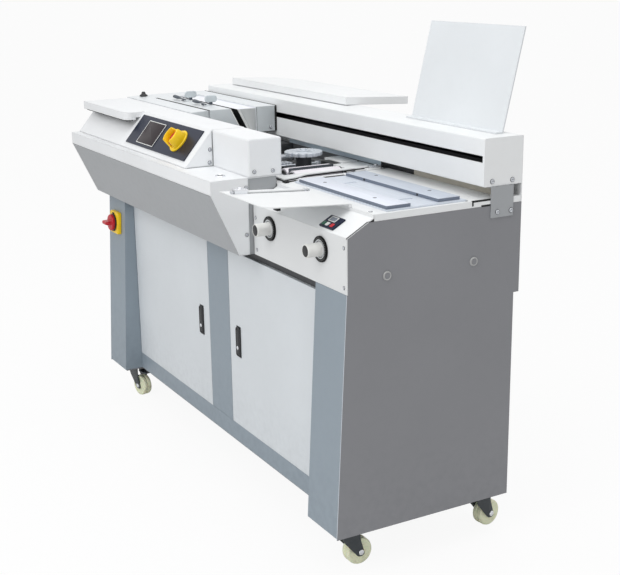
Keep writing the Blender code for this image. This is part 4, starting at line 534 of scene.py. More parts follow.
def screw_head(radius, height):
    """Pan head: height sqrt(1 - 0.8 r^2), sunk by a cross where |x| or |y| is under the drive's half width."""
    share = np.linspace(0, 1, 9)[:, None]
    turn = np.linspace(0, math.tau, 24, endpoint=False)[None, :] + math.pi / 24
    x, y = share * np.cos(turn), share * np.sin(turn)
    dome = height * np.sqrt(1 - 0.8 * share**2) + 0 * x
    cross = ((np.minimum(abs(x), abs(y)) < 0.17) & (share < 0.62)).astype(float)
    top = np.stack((radius * x, radius * y, dome - cross * height * 0.55), -1)
    foot = np.stack((radius * x[-1], radius * y[-1], 0 * x[-1]), -1)
    return loft(np.concatenate((top, foot[None]))[::-1])


def screws(name, radius, groups, body="machine"):
    """Screw heads at places, each group with the way it faces, and the thin dark ring painted round each as shade.
    """
    head = screw_head(radius, radius * 0.55)
    ring = lathe(((0, 0), (radius * 1.16, 0), (radius * 1.16, 0.0007), (0, 0.0007)), 24)
    heads, rings = [], []
    for out, places in groups:
        up = BACK if out is RISE else RISE
        heads += [moved(head, spot(*place), out, up) for place in places]
        rings += [moved(ring, spot(*place), out, up) for place in places]
    # painted shade: a thin dark ring round each screw head
    piece(name + "_shadow_rings", DARK, rings, body)
    piece(name, SCREW, heads, body, crease=50)


# ---------------------------------------------------------------- console

CONSOLE_END = high("console_tray")[0]
HOOD_START = low("hood")[0]
LEDGE = high("console_tray")[2]
SLOPE_FOOT_Y, SLOPE_HEAD_Y = -0.081, -0.009
HOOD_TOP = high("hood")[2]
SLOPE = np.array((0.0, SLOPE_HEAD_Y - SLOPE_FOOT_Y, HOOD_TOP - LEDGE))
SLOPE = SLOPE / np.linalg.norm(SLOPE)
SLOPE_OUT = np.array((0.0, -SLOPE[2], SLOPE[1]))


def on_slope(x, up, out):
    """A place on the desk's slope: x along it, a distance up it and one out of it."""
    return spot(x, SLOPE_FOOT_Y, LEDGE) + SLOPE * up + SLOPE_OUT * out


def console_fittings():
    """Screws of the hood, the desk's end and the console's end, seams of the cheek, and the ledge's lock."""
    end, side = CONSOLE_END, HOOD_START
    screws("console_screws", 0.0042, (
        (ALONG, ((end, 0.005, 0.821), (end, 0.052, 0.82), (end, -0.017, 0.787), (end, -0.018, 0.679))),
        (ALONG, ((side - 0.0003, -0.016, 0.849), (side - 0.0003, -0.018, 0.818))),
    ))
    head = SLOPE_HEAD_Y
    seams = [
        block((side - 0.0002, SLOPE_FOOT_Y + 0.004, LEDGE), (side + 0.0012, head, LEDGE + 0.001), 0.0001),
        block((side - 0.0002, head - 0.0012, LEDGE), (side + 0.001, head, HOOD_TOP - 0.003), 0.0001),
    ]
    piece("cheek_seams", SEAM, seams)
    under = low("lid")[2]
    # painted shadow: a dark strip hanging under the lid's lip
    lip_shadow = block((-0.668, -0.0585, under - 0.003), (-0.352, -0.04, under - 0.0001), 0.0002)
    piece("lid_lip_painted_shadow", RUBBER, [lip_shadow], "lid")
    at = spot(0.222, -0.055, LEDGE)
    rim = ((0.0, 0.0), (0.012, 0.0), (0.012, 0.0014), (0.011, 0.0028), (0.0092, 0.0032), (0.0082, 0.002),
           (0.0, 0.002))
    piece("ledge_lock", CHROME, [moved(lathe(rim, 40), at)])
    barrel = lathe(((0.0, 0.0018), (0.0078, 0.0018), (0.0078, 0.0024), (0.007, 0.0027), (0.0, 0.0027)), 40)
    slot = slab(oblong(0.0016, 0.0085, 0.0007), ((0, 0.0012), (0, 0.0031)))
    piece("ledge_lock_barrel", ZINC, [moved(barrel, at)])
    piece("ledge_lock_keyway", RUBBER, [moved(slot, at)])


def screen():
    """Screen with a thin light frame on the control panel."""
    seat = on_slope(-0.208, 0.0575, 0.0033)
    ring = frame_ring(oblong(0.1095, 0.0675, 0.0016), oblong(0.1062, 0.0642, 0.001), 0.0009)
    piece("screen_frame", WHITE_KEY, [moved(ring, seat, SLOPE_OUT, SLOPE)])
    glass = plate(oblong(0.1058, 0.0638, 0.0012), 0.0006, 0.0002)
    piece("screen_glass", SCREEN, [moved(glass, seat, SLOPE_OUT, SLOPE)])


def emergency_stop():
    """Yellow shroud whose wall rises on two sides, and the red mushroom head between them."""
    at = on_slope(-0.0315, 0.0598, 0.0026)
    turn = np.linspace(0, math.tau, 96, endpoint=False)
    open_share = np.clip((abs(np.cos(turn)) - 0.5) / 0.22, 0, 1)
    wall_low, wall_high = 0.0075, 0.031
    wall = wall_low + (wall_high - wall_low) * open_share**2 * (3 - 2 * open_share)
    inner, outer = 0.0222, 0.0282
    section = ((inner, 0), (outer, 0), (outer + 0.0006, 0.3), (outer - 0.0006, 0.75), (outer - 0.0018, 0.96),
               (outer - 0.0032, 1.0), (inner + 0.0008, 0.99), (inner + 0.0002, 0.93), (inner, 0.6), (inner, 0))
    radius, share = np.array(section).T[..., None]
    rings = np.stack((radius * np.cos(turn), radius * np.sin(turn), share * wall), -1)
    foot = lathe(((0.0148, 0.0), (0.03, 0.0), (0.03, 0.0028), (0.0288, 0.0044), (0.0225, 0.005), (0.0148, 0.005),
                  (0.0148, 0.0)), 72)
    shroud = [moved(part, at, SLOPE_OUT, SLOPE) for part in (loft(rings, caps=False), foot)]
    piece("estop_shroud", YELLOW, shroud, stands_for=("estop_guard",))
    cap = turned(((0.0, 0.0218), (0.011, 0.0214), (0.0185, 0.018), (0.0196, 0.014), (0.0188, 0.0108),
                  (0.0117, 0.0106),
                  (0.0117, 0.0056), (0.0, 0.0056)), 0.002, 64)
    piece("estop_head", RED, [moved(cap, at, SLOPE_OUT, SLOPE)], "estop_button", ("estop_button",))


def main_switch():
    """Yellow plate with rounded edges; a black ring, red disc and tapered grip turn on it."""
    lean = math.atan2(FLARE, FLARE_HEIGHT)
    out = np.array((0.0, -math.cos(lean), math.sin(lean)))
    height = 0.543
    at = spot(-0.619, -FLARE * (FASCIA_BOTTOM - height) / FLARE_HEIGHT - 0.0003, height)
    body = slab(oblong(0.065, 0.065, 0.009, 6), ((0.0012, 0), (0, 0.001), (0, 0.0082), (0.0006, 0.01),
                                                 (0.0018, 0.0114),
                                                (0.0034, 0.012)))
    piece("switch_plate", YELLOW, [moved(body, at, out, RISE)], stands_for=("switch_base",))
    mark = plate(oblong(0.012, 0.0032, 0.001), 0.001, 0.0002)
    marks = [moved(mark, at + out * 0.0116 + RISE * side * 0.0282, out, RISE) for side in (-1, 1)]
    piece("switch_slots", RUBBER, marks)
    seat = at + out * 0.0124
    ring = lathe(((0, 0), (0.0262, 0), (0.0262, 0.0028), (0.025, 0.0036), (0, 0.0036)), 56)
    piece("switch_ring", BLACK, [moved(ring, seat, out, RISE)], "switch_knob")
    disc = turned(((0, 0.0036), (0.0238, 0.0036), (0.024, 0.01), (0.0215, 0.0122), (0, 0.0122)), 0.0012, 56)
    height = np.array((0.01, 0.013, 0.018, 0.0255, 0.029, 0.03))
    half_width = np.array((0.02, 0.0186, 0.018, 0.0174, 0.016, 0.0136))
    half_length = np.array((0.008, 0.0062, 0.0058, 0.0054, 0.0044, 0.0026))
    unit = oblong(2, 2, 0.4, 5)
    rings = np.stack((half_width[:, None] * unit[:, 0], half_length[:, None] * unit[:, 1],
                      height[:, None] + 0 * unit[:, 0]), -1)
    piece("switch_grip", RED, [moved(part, seat, out, RISE) for part in (disc, loft(rings))], "switch_knob",
          ("switch_knob",))


# ---------------------------------------------------------------- fascia

def adjusting_knobs():
    """Dial plate, ribbed ivory grip and black end cap of each adjusting knob."""
    for side, x in (("left", 0.357), ("right", 0.583)):
        body = side + "_adjusting_knob"
        at = spot(x, -0.0003, 0.707)
        ring = ((0.0147, 0.0), (0.0275, 0.0), (0.0275, 0.003), (0.0268, 0.0042), (0.019, 0.0042), (0.0184, 0.0034),
                (0.0147, 0.0034), (0.0147, 0.0))
        piece(side + "_dial", dial(side + "_dial_marks", at), [moved(lathe(ring, 64), at, -BACK, RISE)], body)
        grip = soften(((0.0, 0.0), (0.0145, 0.0), (0.0145, 0.006), (0.0141, 0.0064), (0.0145, 0.0068),
                       (0.0145, 0.035),
                       (0.0138, 0.0376), (0.0126, 0.038), (0.0122, 0.0368), (0.0, 0.0368)), 0.0006, 3, closed=False)
        ribs = lambda turn: 1 - 0.012 * (0.5 + 0.5 * np.cos(60 * turn)) ** 4
        piece(side + "_knob_grip", GRIP, [moved(lathe(grip, 240, ribs), at, -BACK, RISE)], body,
              (side + "_adjusting_knob",))
        cap = ((0.0, 0.037), (0.0118, 0.037), (0.012, 0.0374), (0.0112, 0.0377), (0.0, 0.0377))
        piece(side + "_knob_cap", BLACK, [moved(lathe(cap[::-1], 40), at, -BACK, RISE)], body)


def counter():
    """Counter: bevelled case, framed display and three keys."""
    rise = np.array((0.0, 0.048, 0.027))
    rise = rise / np.linalg.norm(rise)
    out = np.array((0.0, -rise[2], rise[1]))
    at = spot((low("counter_panel")[0] + high("counter_panel")[0]) / 2, 0, 0.748) + rise * 0.025 + out * 0.0003
    case = slab(oblong(0.056, 0.036, 0.0026), ((0, 0), (0, 0.002), (0.0006, 0.0028), (0.0016, 0.003)))

    def on(part, x, up):
        """A part on the case's face."""
        return moved(part, at + ALONG * x + rise * up + out * 0.003, out, rise)

    piece("counter_case", NAVY, [moved(case, at, out, rise)], stands_for=("counter_panel",))
    key = slab(oblong(0.0105, 0.01, 0.0018), ((0, 0), (0, 0.0008), (0.0005, 0.0013), (0.0014, 0.0015)))
    piece("counter_key_green", GREEN, [on(key, -0.018, -0.0085)])
    piece("counter_key_white", WHITE_KEY, [on(key, -0.0045, -0.0085)])
    piece("counter_key_red", RED, [on(key, 0.0135, -0.0085)])
    bezel = frame_ring(oblong(0.0265, 0.0145, 0.0016), oblong(0.023, 0.011, 0.0008), 0.001)
    piece("counter_bezel", WHITE_KEY, [on(bezel, -0.003, 0.0075)])
    display = plate(oblong(0.0228, 0.0108, 0.0007), 0.0004, 0.0001)
    piece("counter_display", LCD, [on(display, -0.003, 0.0075)])


def fascia_screws():
    """Screws of the fascia and the deck, and the dark seam along the fascia's slanted right edge."""
    screws("fascia_screws", 0.0036, (
        (-BACK, ((0.286, 0, 0.719), (0.289, 0, 0.645), (0.673, 0, 0.727), (0.673, 0, 0.645))),
        (RISE, ((0.6725, 0.297, 0.7891), (0.656, 0.073, 0.7891))),
    ))
    edge = ((-0.0006, 0.747), (0.0, FASCIA_EDGE), (0.0476, 0.7756), (0.064, 0.7762))
    start = RIGHT - 0.001
    piece("fascia_edge_seam", RUBBER, [folded(edge, 0.001, start, start + 0.0014)])


def panel_edges():
    """Pale strips painted as the highlight on the rounded front edges of the two end panels, down the flare of the
    legs.
    """
    line = ((-FLARE + 0.0002, 0.101), (0.0002, FASCIA_BOTTOM - 0.001))
    for name, start in (("right_panel_edge_highlight", RIGHT - 0.0018), ("left_panel_edge_highlight", LEFT + 0.0002)):
        piece(name, EDGE_HIGHLIGHT, [folded(line, 0.0008, start, start + 0.0016)])


# ---------------------------------------------------------------- rear beam, tray and stand

def beam_fittings():
    """Black sheet painted as the shade inside the beam's slot, end screws, and the bracket's screws."""
    slot_shade = ((0.3368, 0.8655), (0.3368, 0.8178), (0.4322, 0.8178), (0.4322, 0.9142), (0.3368, 0.9142),
              (0.3368, 0.8805))
    # painted shade: a black sheet lining the inside of the slot
    piece("slot_painted_shade", RUBBER, [folded(slot_shade, 0.0006, LEFT + 0.003, RIGHT - 0.003)])
    screws("beam_screws", 0.0048, ((ALONG, ((RIGHT, 0.355, 0.826), (RIGHT, 0.408, 0.825))),))
    outer = high("beam_bracket")[0]
    screws("bracket_screws", 0.005, ((ALONG, ((outer, 0.369, 0.76), (outer, 0.405, 0.76))),))


def end_plugs():
    """Snap-in plugs on the end panels, with a raised rim."""
    profile = ((0.0068, 0), (0.0098, 0), (0.0098, 0.0014), (0.009, 0.003), (0.0076, 0.0033), (0.0068, 0.0026),
               (0.0068, 0))
    rim = turned(profile, 0.0006, 36)
    middle = lathe(((0, 0), (0.0067, 0), (0.0067, 0.0022), (0, 0.0022)), 36)
    for name, x, out in (("right_plugs", RIGHT, ALONG), ("left_plugs", LEFT, -ALONG)):
        places = [spot(x, y, 0.66) for y in (0.094, 0.311)]
        piece(name, PLUG, [moved(rim, place, out, RISE) for place in places])
        piece(name + "_middle", END_GREY, [moved(middle, place, out, RISE) for place in places])


# ---------------------------------------------------------------- clamp carriage

def rake(y, z):
    """Depth of a raked clamp face that is at y at the carriage's top."""
    return y + 0.036 * (CARRIAGE_TOP - z) / 0.069


def upright(y, z):
    return y


def strip(front, back, foot, head, face=rake):
    """Outline in Y and Z between two depths at the carriage's top, on raked or upright faces."""
    return [(face(y, z), z) for y, z in ((front, foot), (back, foot), (back, head), (front, head))]


def clamp_end(name, look, outline, x, body="carriage"):
    """Thin plate on a clamp's end face, from its outline in Y and Z."""
    line = np.array(outline, float) + SHIFT[1:]
    thick = 0.00015 if body == "clamp_jaw" else 0.0006
    end = moved(plate(line, thick, thick / 6), (x + SHIFT[0], 0, 0), ALONG, RISE)
    piece(name, look, [end], body, slot="clamp_silver")


def clamp_faces():
    """End faces of the clamp's bar, jaw and rear box: grey plates painted as their shade, light liners, and black
    pads that also paint the shade in the gap between bar and jaw.
    """
    end = high("carriage")[0]
    bottom, upper = 0.8296, CARRIAGE_TOP - 0.0006
    notch = ((0.1342, upper), (0.1342, 0.878), (0.1308, 0.878), (0.1308, upper))
    bar = ((0.0806, bottom), (rake(0.1925, bottom), bottom), (rake(0.1925, upper), upper), *notch,
           (0.0806, upper - 0.0025))
    clamp_end("bar_end_shade_plate", CLAMP_END_SHADE, bar, end)
    clamp_end("box_end_shade_plate", CLAMP_END_SHADE, strip(0.274, 0.3274, bottom, upper, upright), end)
    clamp_end("box_seam", DARK, strip(0.2726, 0.2736, bottom, upper, upright), end)
    face, jaw_start, jaw_end = 0.215, low("clamp_jaw")[0], high("clamp_jaw")[0]
    foot, head = low("clamp_jaw")[2] + 0.0004, high("clamp_jaw")[2] - 0.0004
    jaw = ((rake(face, foot) + 0.0072, foot), (0.2714, foot), (0.2714, head), (rake(face, head) + 0.0072, head))
    clamp_end("jaw_end_shade_plate", JAW_END_SHADE, jaw, jaw_end, "clamp_jaw")
    clamp_end("bar_liner", WHITE_KEY, strip(0.193, 0.1958, bottom, upper), end)
    clamp_end("jaw_liner", WHITE_KEY, strip(face + 0.0002, face + 0.007, foot, head), jaw_end, "clamp_jaw")
    # black pads on the raked faces, also painted as the shade in the gap between bar and jaw
    for name, body, y, low_end, high_end, far in (("bar_pad_gap_shade", "carriage", 0.1962, 0.832, 0.896, 0.0022),
                                                  ("jaw_pad_gap_shade", "clamp_jaw", face - 0.0003, foot, head, -0.0006)):
        line = [(rake(y, z), z) for z in (high_end, low_end)]
        piece(name, RUBBER, [folded(line, 0.0002, jaw_start + 0.001, jaw_end + far)], body)


def carriage_fittings():
    """Black strips painted as shade: the slit's dark line, one in the gap behind the rear box with its end, and one
    under the box; end screws and the stop's knob.
    """
    start, end = low("carriage")[0], high("carriage")[0]
    # painted shade: black strips for the slit, the gap behind the rear box, its end and the band under the box
    shade_strips = [
        block((start + 0.105, 0.1284, CARRIAGE_TOP - 0.0002), (end + 0.0003, 0.135, CARRIAGE_TOP + 0.0005), 0.0001),
        block((start + 0.001, 0.3302, 0.8295), (end + 0.0004, 0.3334, 0.8985), 0.0004),
        block((end + 0.0001, 0.3277, 0.829), (end + 0.0008, 0.3334, 0.8962), 0.0001),
        block((end - 0.09, 0.295, 0.827), (end + 0.0004, 0.33, 0.8293), 0.0003),
    ]
    piece("carriage_painted_shade", RUBBER, shade_strips, "carriage")
    face = end + 0.0004
    screws("carriage_screws", 0.0046, ((ALONG, ((face, 0.316, 0.84), (face, 0.15, 0.842))),), "carriage")
    knob = turned(((0.0, 0.0132), (0.0036, 0.013), (0.0052, 0.0112), (0.0064, 0.007), (0.0094, 0.0042),
                   (0.0119, 0.003), (0.0119, 0.0), (0.0, 0.0)), 0.0012, 40)
    at = spot(-0.675, 0.119, CARRIAGE_TOP + 0.0003)
    piece("carriage_stop_knob", BLACK, [moved(knob, at)], "carriage_knob", ("carriage_knob",))


def clamp_levers():
    """Arm, hub and grey tab of the two clamp levers."""
    share = np.linspace(0, 1, 16)
    path = np.stack((0.024 - 0.082 * share, 0 * share - 0.0125, 0.0062 + 0.003 * share), -1)
    swell = np.clip((share - 0.35) / 0.35, 0, 1)
    thick = (0.0024 + 0.0038 * swell**2 * (3 - 2 * swell)) * np.sqrt(1 - np.clip((share - 0.94) / 0.08, 0, 0.9))
    arm = (tube(path, thick, 0.75), box((-0.003, -0.014, 0.0015), (0.003, 0.019, 0.0042), 0.0008),
           box((-0.0016, 0.009, 0.003), (0.0016, 0.0185, 0.012), 0.0005))
    hub = turned(((0, 0.0), (0.0095, 0.0), (0.0095, 0.003), (0, 0.004)), 0.001, 40)
    tab = slab(oblong(0.036, 0.019, 0.009, 6), ((0.0014, -0.0024), (0, -0.001), (0, 0.001), (0.0014, 0.0024)))
    for side, x in (("left", -0.482), ("right", -0.345)):
        body = side + "_clamp_lever"
        at = spot(x, 0.172, CARRIAGE_TOP + 0.0003)
        piece(side + "_lever_arm", LEVER_GREY, [moved(part, at) for part in arm], body, (body,))
        piece(side + "_lever_hub", SILVER, [moved(hub, at)], body)
        piece(side + "_lever_tab", TAB_GREY, [moved(tab, at + (0, 0.014, 0.0175), ALONG, RISE)], body)


# ---------------------------------------------------------------- milling and gluing

CUTTER_PLACE = (0.057, 0.252)


def cutter():
    """Milling cutter: a disc whose edge is drawn in at each gullet, a raised land, and a hexagon nut."""
    turn = np.linspace(0, math.tau, 256, endpoint=False)
    phase = (turn * 16 / math.tau) % 1
    gullet = np.clip(1 - phase / 0.3, 0, 1) * (phase < 0.3)
    rim = 0.0475
    edge = rim - 0.006 * gullet
    section = ((0.94, -0.01), (1.0, -0.0088), (1.0, -0.001), (0.975, 0.0), (0.62, 0.0), (0.6, -0.0012),
               (0.46, -0.0012),
               (0.44, 0.0), (0.3, 0.0))
    share, height = np.array(section).T[..., None]
    blend = np.clip((share - 0.6) / 0.4, 0, 1)
    radius = share * (blend * edge + (1 - blend) * rim)
    rings = np.stack((radius * np.cos(turn), radius * np.sin(turn), height + 0 * turn), -1)
    flange = lathe(((0, 0.0005), (0.0175, 0.0005), (0.0175, 0.002), (0.0165, 0.0028), (0, 0.0028)), 48)
    hexagon = around(0.0098, np.arange(6) * math.tau / 6)
    nut = slab(soften(hexagon, 0.0008, 2), ((0, 0.0028), (0, 0.0054), (0.0008, 0.0062)))
    at = spot(*CUTTER_PLACE, 0.818)
    blade = [moved(part, at) for part in (loft(rings), flange, nut)]
    piece("cutter_blade", CUTTER_STEEL, blade, "cutter_disc", ("cutter_disc",), crease=28)


def milling_station():
    """Dust shroud under the cutter, spur blocks, guide rods, and cover plates over the bay."""
    line = around(0.0605, np.radians(np.linspace(150, 330, 40)))
    outline = np.concatenate((line, line[::-1] * (0.0575 / 0.0605)))
    shroud = moved(slab(outline, ((0, BAY_FLOOR), (0, 0.776))), spot(*CUTTER_PLACE, 0))
    blocks = [
        block((-0.215, 0.296, BAY_FLOOR), (-0.155, 0.34, 0.805), 0.004),
        block((-0.17, 0.25, BAY_FLOOR), (-0.125, 0.29, 0.79), 0.003),
        block((-0.06, 0.27, BAY_FLOOR), (-0.012, 0.33, 0.776), 0.002),
        block((0.018, 0.15, BAY_FLOOR), (0.062, 0.182, 0.78), 0.0015),
        block((0.084, 0.176, BAY_FLOOR), (0.112, 0.204, 0.786), 0.0015),
        block((0.05, 0.306, BAY_FLOOR), (0.11, 0.33, 0.788), 0.0015),
    ]
    piece("milling_blocks", BLACK, [shroud, *blocks])
    piece("milling_guard", DARK, [block((-0.205, 0.262, BAY_FLOOR), (-0.145, 0.294, 0.796), 0.003)])
    rods = [tube((spot(x, 0.092, z), spot(x, 0.33, z)), 0.0045) for x, z in ((0.004, 0.7735), (0.108, 0.77))]
    post = lathe(((0, 0), (0.0075, 0), (0.0075, 0.026), (0.0065, 0.028), (0, 0.028)), 24)
    posts = [moved(post, spot(x, y, BAY_FLOOR)) for x, y in ((0.004, 0.1), (0.004, 0.322), (-0.041, 0.205))]
    clamps = [block((0.026, 0.122, BAY_FLOOR), (0.052, 0.146, 0.796), 0.001),
              block((-0.1, 0.25, 0.776), (-0.068, 0.29, 0.788), 0.002)]
    fins = [block((-0.04, y, BAY_FLOOR), (-0.004, y + 0.005, 0.78), 0.0006) for y in (0.222, 0.231, 0.24, 0.249)]
    piece("milling_rods", STEEL, [*rods, *posts, *clamps, *fins])
    plates = [
        block((0.12, 0.3, 0.77), (0.232, 0.378, DECK_TOP), 0.0008),
        block((0.02, 0.334, 0.77), (0.11, 0.378, 0.7895), 0.0008),
        block((-0.23, 0.08, BAY_FLOOR), (-0.08, 0.24, 0.764), 0.0012),
        block((0.145, 0.09, BAY_FLOOR), (0.214, 0.128, 0.7885), 0.0008),
    ]
    piece("bay_covers", WHITE, plates)
    rim = ((0.224, 0.085), (0.264, 0.085), (0.256, 0.12), (0.235, 0.1624), (0.231, 0.231),
           (0.227, 0.3), (0.224, 0.34), (0.214, 0.34), (0.215, 0.23), (0.216, 0.15))
    piece("rim_bar", WHITE, [moved(plate(rim, 0.003, 0.0004), spot(0, 0, 0.792))])
    piece("rim_shadow_strip", RUBBER, [moved(plate(rim, 0.0028, 0.0001), spot(0, 0, 0.7892))])


def glue_rollers():
    """Applicator rollers with a ribbed sleeve, steel journals and a black collar at the far end."""
    start, end = 0.145, 0.272
    long = end - start
    wave = 0.0198 + 0.0002 * np.cos(np.arange(40) * math.pi)
    ribs = np.stack((wave, np.linspace(0.0012, long - 0.0012, 40)), -1)
    sleeve = lathe(((0.0, 0.0), (0.019, 0.0), *ribs, (0.019, long), (0.0, long)), 48)
    ends = (
        lathe(((0, -0.012), (0.005, -0.012), (0.005, 0), (0, 0)), 24),
        lathe(((0, long), (0.005, long), (0.005, long + 0.012), (0.0118, long + 0.0122),
               (0.012, long + 0.0165), (0, long + 0.0168)), 32),
        lathe(((0, long + 0.0004), (0.0185, long + 0.0004), (0.019, long + 0.0034), (0, long + 0.004)), 40),
        lathe(((0, -0.004), (0.015, -0.0034), (0.0155, -0.0004), (0, -0.0004)), 40),
    )
    for side in ("right", "left"):
        name = side + "_glue_roller"
        middle = (low(name) + high(name)) / 2
        at = spot(middle[0], start, middle[2])
        piece(side + "_roller_sleeve", ROLLER, [moved(sleeve, at, BACK, RISE)], name, (name,))
        piece(side + "_roller_shaft", BLACK, [moved(part, at, BACK, RISE) for part in ends], name)
    middle = (high("left_glue_roller")[0] + low("right_glue_roller")[0]) / 2
    blade = block((middle - 0.0005, 0.147, 0.776), (middle + 0.0005, 0.27, 0.8005), 0.0001)
    piece("glue_wiper", ZINC, [blade])


# ---------------------------------------------------------------- nipping station

def nipping_plates():
    """Ground plates with softened edges, sunk screws and dark bolts."""
    ring = lathe(((0, 0.0), (0.0044, 0.0), (0.0044, 0.0001), (0.0036, 0.0003), (0.002, 0.0002), (0, 0.0002)), 24)
    for name, body, look, places in (
            ("front_nipping_plate", "front_nipping_plate", PLATE, ((0.374, 0.131), (0.584, 0.129))),
            ("rear_nipping_plate", "nipping_table", PLATE_SHADED, ((0.363, 0.273), (0.581, 0.269)))):
        start, end = low(name), high(name)
        start[2] = end[2] - 0.007
        edge = block(start, end - (0, 0, 0.0006), 0.0003)
        face = block((start[0] + 0.0004, start[1] + 0.0004, end[2] - 0.0007), end - (0.0004, 0.0004, 0), 0.0003)
        piece(name + "_body", PLATE_EDGE, [edge], body, (name,))
        piece(name + "_face", look, [face], body)
        piece(name + "_screws", ZINC, [moved(ring, spot(x, y, end[2])) for x, y in places], body)
    bolt = lathe(((0, 0.0), (0.0024, 0.0), (0.0024, 0.001), (0.0018, 0.0014), (0, 0.0014)), 24)
    front = low("rear_nipping_plate")[1]
    bolts = [moved(bolt, spot(x, front, 0.7962), -BACK, RISE) for x in (0.377, 0.589)]
    piece("plate_bolts", RUBBER, bolts, "nipping_table")


def deck_marks():
    """Black marks painted as the shade in the deck's gaps and at its flange, and the latches beside the nipping
    station.
    """
    side, top = RIGHT + 0.0004, DECK_TOP
    # painted shade: black strips where gaps in the deck and its flange are in shadow
    marks = [
        block((0.682, 0.304, top), (side, 0.356, top + 0.0008), 0.0001),
        block((RIGHT, 0.304, 0.7862), (side, 0.356, top + 0.0008), 0.0001),
        block((RIGHT, 0.304, 0.7785), (side, 0.308, top), 0.0001),
        block((RIGHT, 0.328, 0.7745), (side, 0.356, 0.7785), 0.0001),
        block((0.262, 0.17, top), (0.289, 0.246, top + 0.0003), 0.0001),
        block((0.27, 0.078, top), (0.286, 0.088, top + 0.0044), 0.0003),
        tube((spot(0.279, 0.086, top + 0.0012), spot(0.273, 0.113, top + 0.0012)), 0.0014),
        moved(lathe(((0, 0), (0.0092, 0), (0.0092, 0.0016), (0, 0.0016)), 32), spot(0.291, 0.114, top)),
    ]
    piece("gap_painted_shadows", RUBBER, marks)
    pivot = lathe(((0, 0), (0.007, 0), (0.007, 0.004), (0.005, 0.006), (0.005, 0.01), (0, 0.012)), 32)
    button = turned(((0, 0), (0.007, 0), (0.0072, 0.005), (0, 0.009)), 0.002, 32)
    bar = top + 0.0065
    latch = [
        moved(pivot, spot(0.231, 0.356, top)),
        tube((spot(0.2379, 0.333, bar), spot(0.2413, 0.364, bar)), 0.0026),
        moved(button, spot(0.291, 0.114, top + 0.0016)),
    ]
    piece("deck_latch", CHROME, latch)
    piece("latch_block", WHITE, [block((0.236, 0.32, top), (0.248, 0.36, top + 0.0042), 0.0006)])
    piece("latch_cap", BLACK, [tube((spot(0.2413, 0.364, bar), spot(0.242, 0.37, bar)), 0.0038)])


def beam_shade_strips():
    """Upright strips under the beam, coloured as it looks there: blue-grey lightened as painted light by the
    milling bay, black beside it and beige to the right as painted shade.
    """
    # painted light on the bay strip, painted shade on the black and beige strips
    for name, look, start, end in (("bay_wall_painted_light", WALL_GREY_LIT, -0.26, 0.212), ("dark_wall_painted_shade", BLACK, 0.212, 0.355),
                                   ("foot_wall_painted_shade", BEIGE_SHADE, 0.355, 0.681)):
        piece(name, look, [block((start, 0.383, 0.7893), (end, 0.386, 0.8147), 0.0002)])


TILT = math.radians(3.8)
TABLE_OUT = np.array((0.0, math.sin(TILT), math.cos(TILT)))
TABLE_RISE = np.array((0.0, math.cos(TILT), -math.sin(TILT)))
RAIL_X, RAIL_MIDDLE = 0.427, -0.0936


def on_table(x, along, out):
    """A place on the cover table: x, a distance along it from its hinge and one out of it."""
    return spot(x, 0.06, 0.7933) + TABLE_RISE * along + TABLE_OUT * out


def cover_table_fittings():
    """Polished rail on the cover table with its end clips, and the table's catch."""
    def on(part, x, along, out):
        return moved(part, on_table(x, along, out), TABLE_OUT, TABLE_RISE)

    top = 0.004
    rail = plate(oblong(0.0068, 0.186, 0.001), 0.0041, 0.0006)
    piece("cover_rail", WHITE, [on(rail, RAIL_X, RAIL_MIDDLE, top + 0.0002)], "cover_table")
    line = plate(oblong(0.0012, 0.185, 0.0002), 0.0004, 0.0001)
    piece("rail_line", ZINC, [on(line, RAIL_X + 0.0045, RAIL_MIDDLE, top)], "cover_table")
    clip = plate(oblong(0.012, 0.004, 0.001), 0.005, 0.0004)
    clips = [on(clip, RAIL_X, along, top) for along in (-0.003, -0.011, -0.185)]
    piece("rail_clips", SCREW, clips, "cover_table")
    piece("table_catch", BLACK, [block((0.392, -0.01, 0.756), (0.41, -0.0004, 0.764), 0.0012)])


def cover_guide():
    """Side guide: a saddle block on the rail with a clamp screw."""
    centre = on_table(RAIL_X, -0.167, 0.0043)
    side, inner = 0.008, 0.0037
    arch = soften(((-side, 0), (-side, 0.0098), (side, 0.0098), (side, 0), (inner, 0), (inner, 0.0052),
                   (-inner, 0.0052),
                   (-inner, 0)), 0.0005, 2)
    body = slab(arch[::-1], ((0.0003, -0.015), (0, -0.0147), (0, 0.0147), (0.0003, 0.015)))
    screw = lathe(((0, 0.0096), (0.0055, 0.0096), (0.0055, 0.012), (0.0048, 0.0126), (0, 0.0126)), 32)
    guide = [moved(body, centre, -TABLE_RISE, TABLE_OUT), moved(screw, centre, TABLE_OUT, TABLE_RISE)]
    piece("guide_block", CHROME, guide, "cover_guide", ("cover_guide",))


# ---------------------------------------------------------------- doors and casters

def door_handles():
    """Swing handle of each door: a raised rim, a sunk lever and a key lock in its lower half."""
    lever = slab(oblong(0.0145, 0.064, 0.006, 6), ((0, -0.003), (0, -0.0012), (0.0008, -0.0003), (0.0022, 0.0002)))
    lock = lathe(((0, 0.0), (0.0048, 0.0), (0.0048, 0.0008), (0.004, 0.0013), (0.003, 0.001), (0, 0.001)), 32)
    for side in ("left", "right"):
        body = side + "_door_handle"
        start, end = low(body), high(body)
        at = spot((start[0] + end[0]) / 2, start[1], (start[2] + end[2]) / 2)
        rim = slab(oblong(0.024, 0.076, 0.0085, 6), ((0, start[1] - end[1]), (0, -0.0024), (0.0006, -0.0008),
                                                   (0.0018, 0.0), (0.003, 0.0), (0.0036, -0.0012), (0.004, -0.002)))
        piece(side + "_handle_body", BLACK, [moved(part, at, -BACK, RISE) for part in (rim, lever)], body, (body,))
        piece(side + "_handle_lock", CHROME, [moved(lock, at - RISE * 0.015, -BACK, RISE)], body)


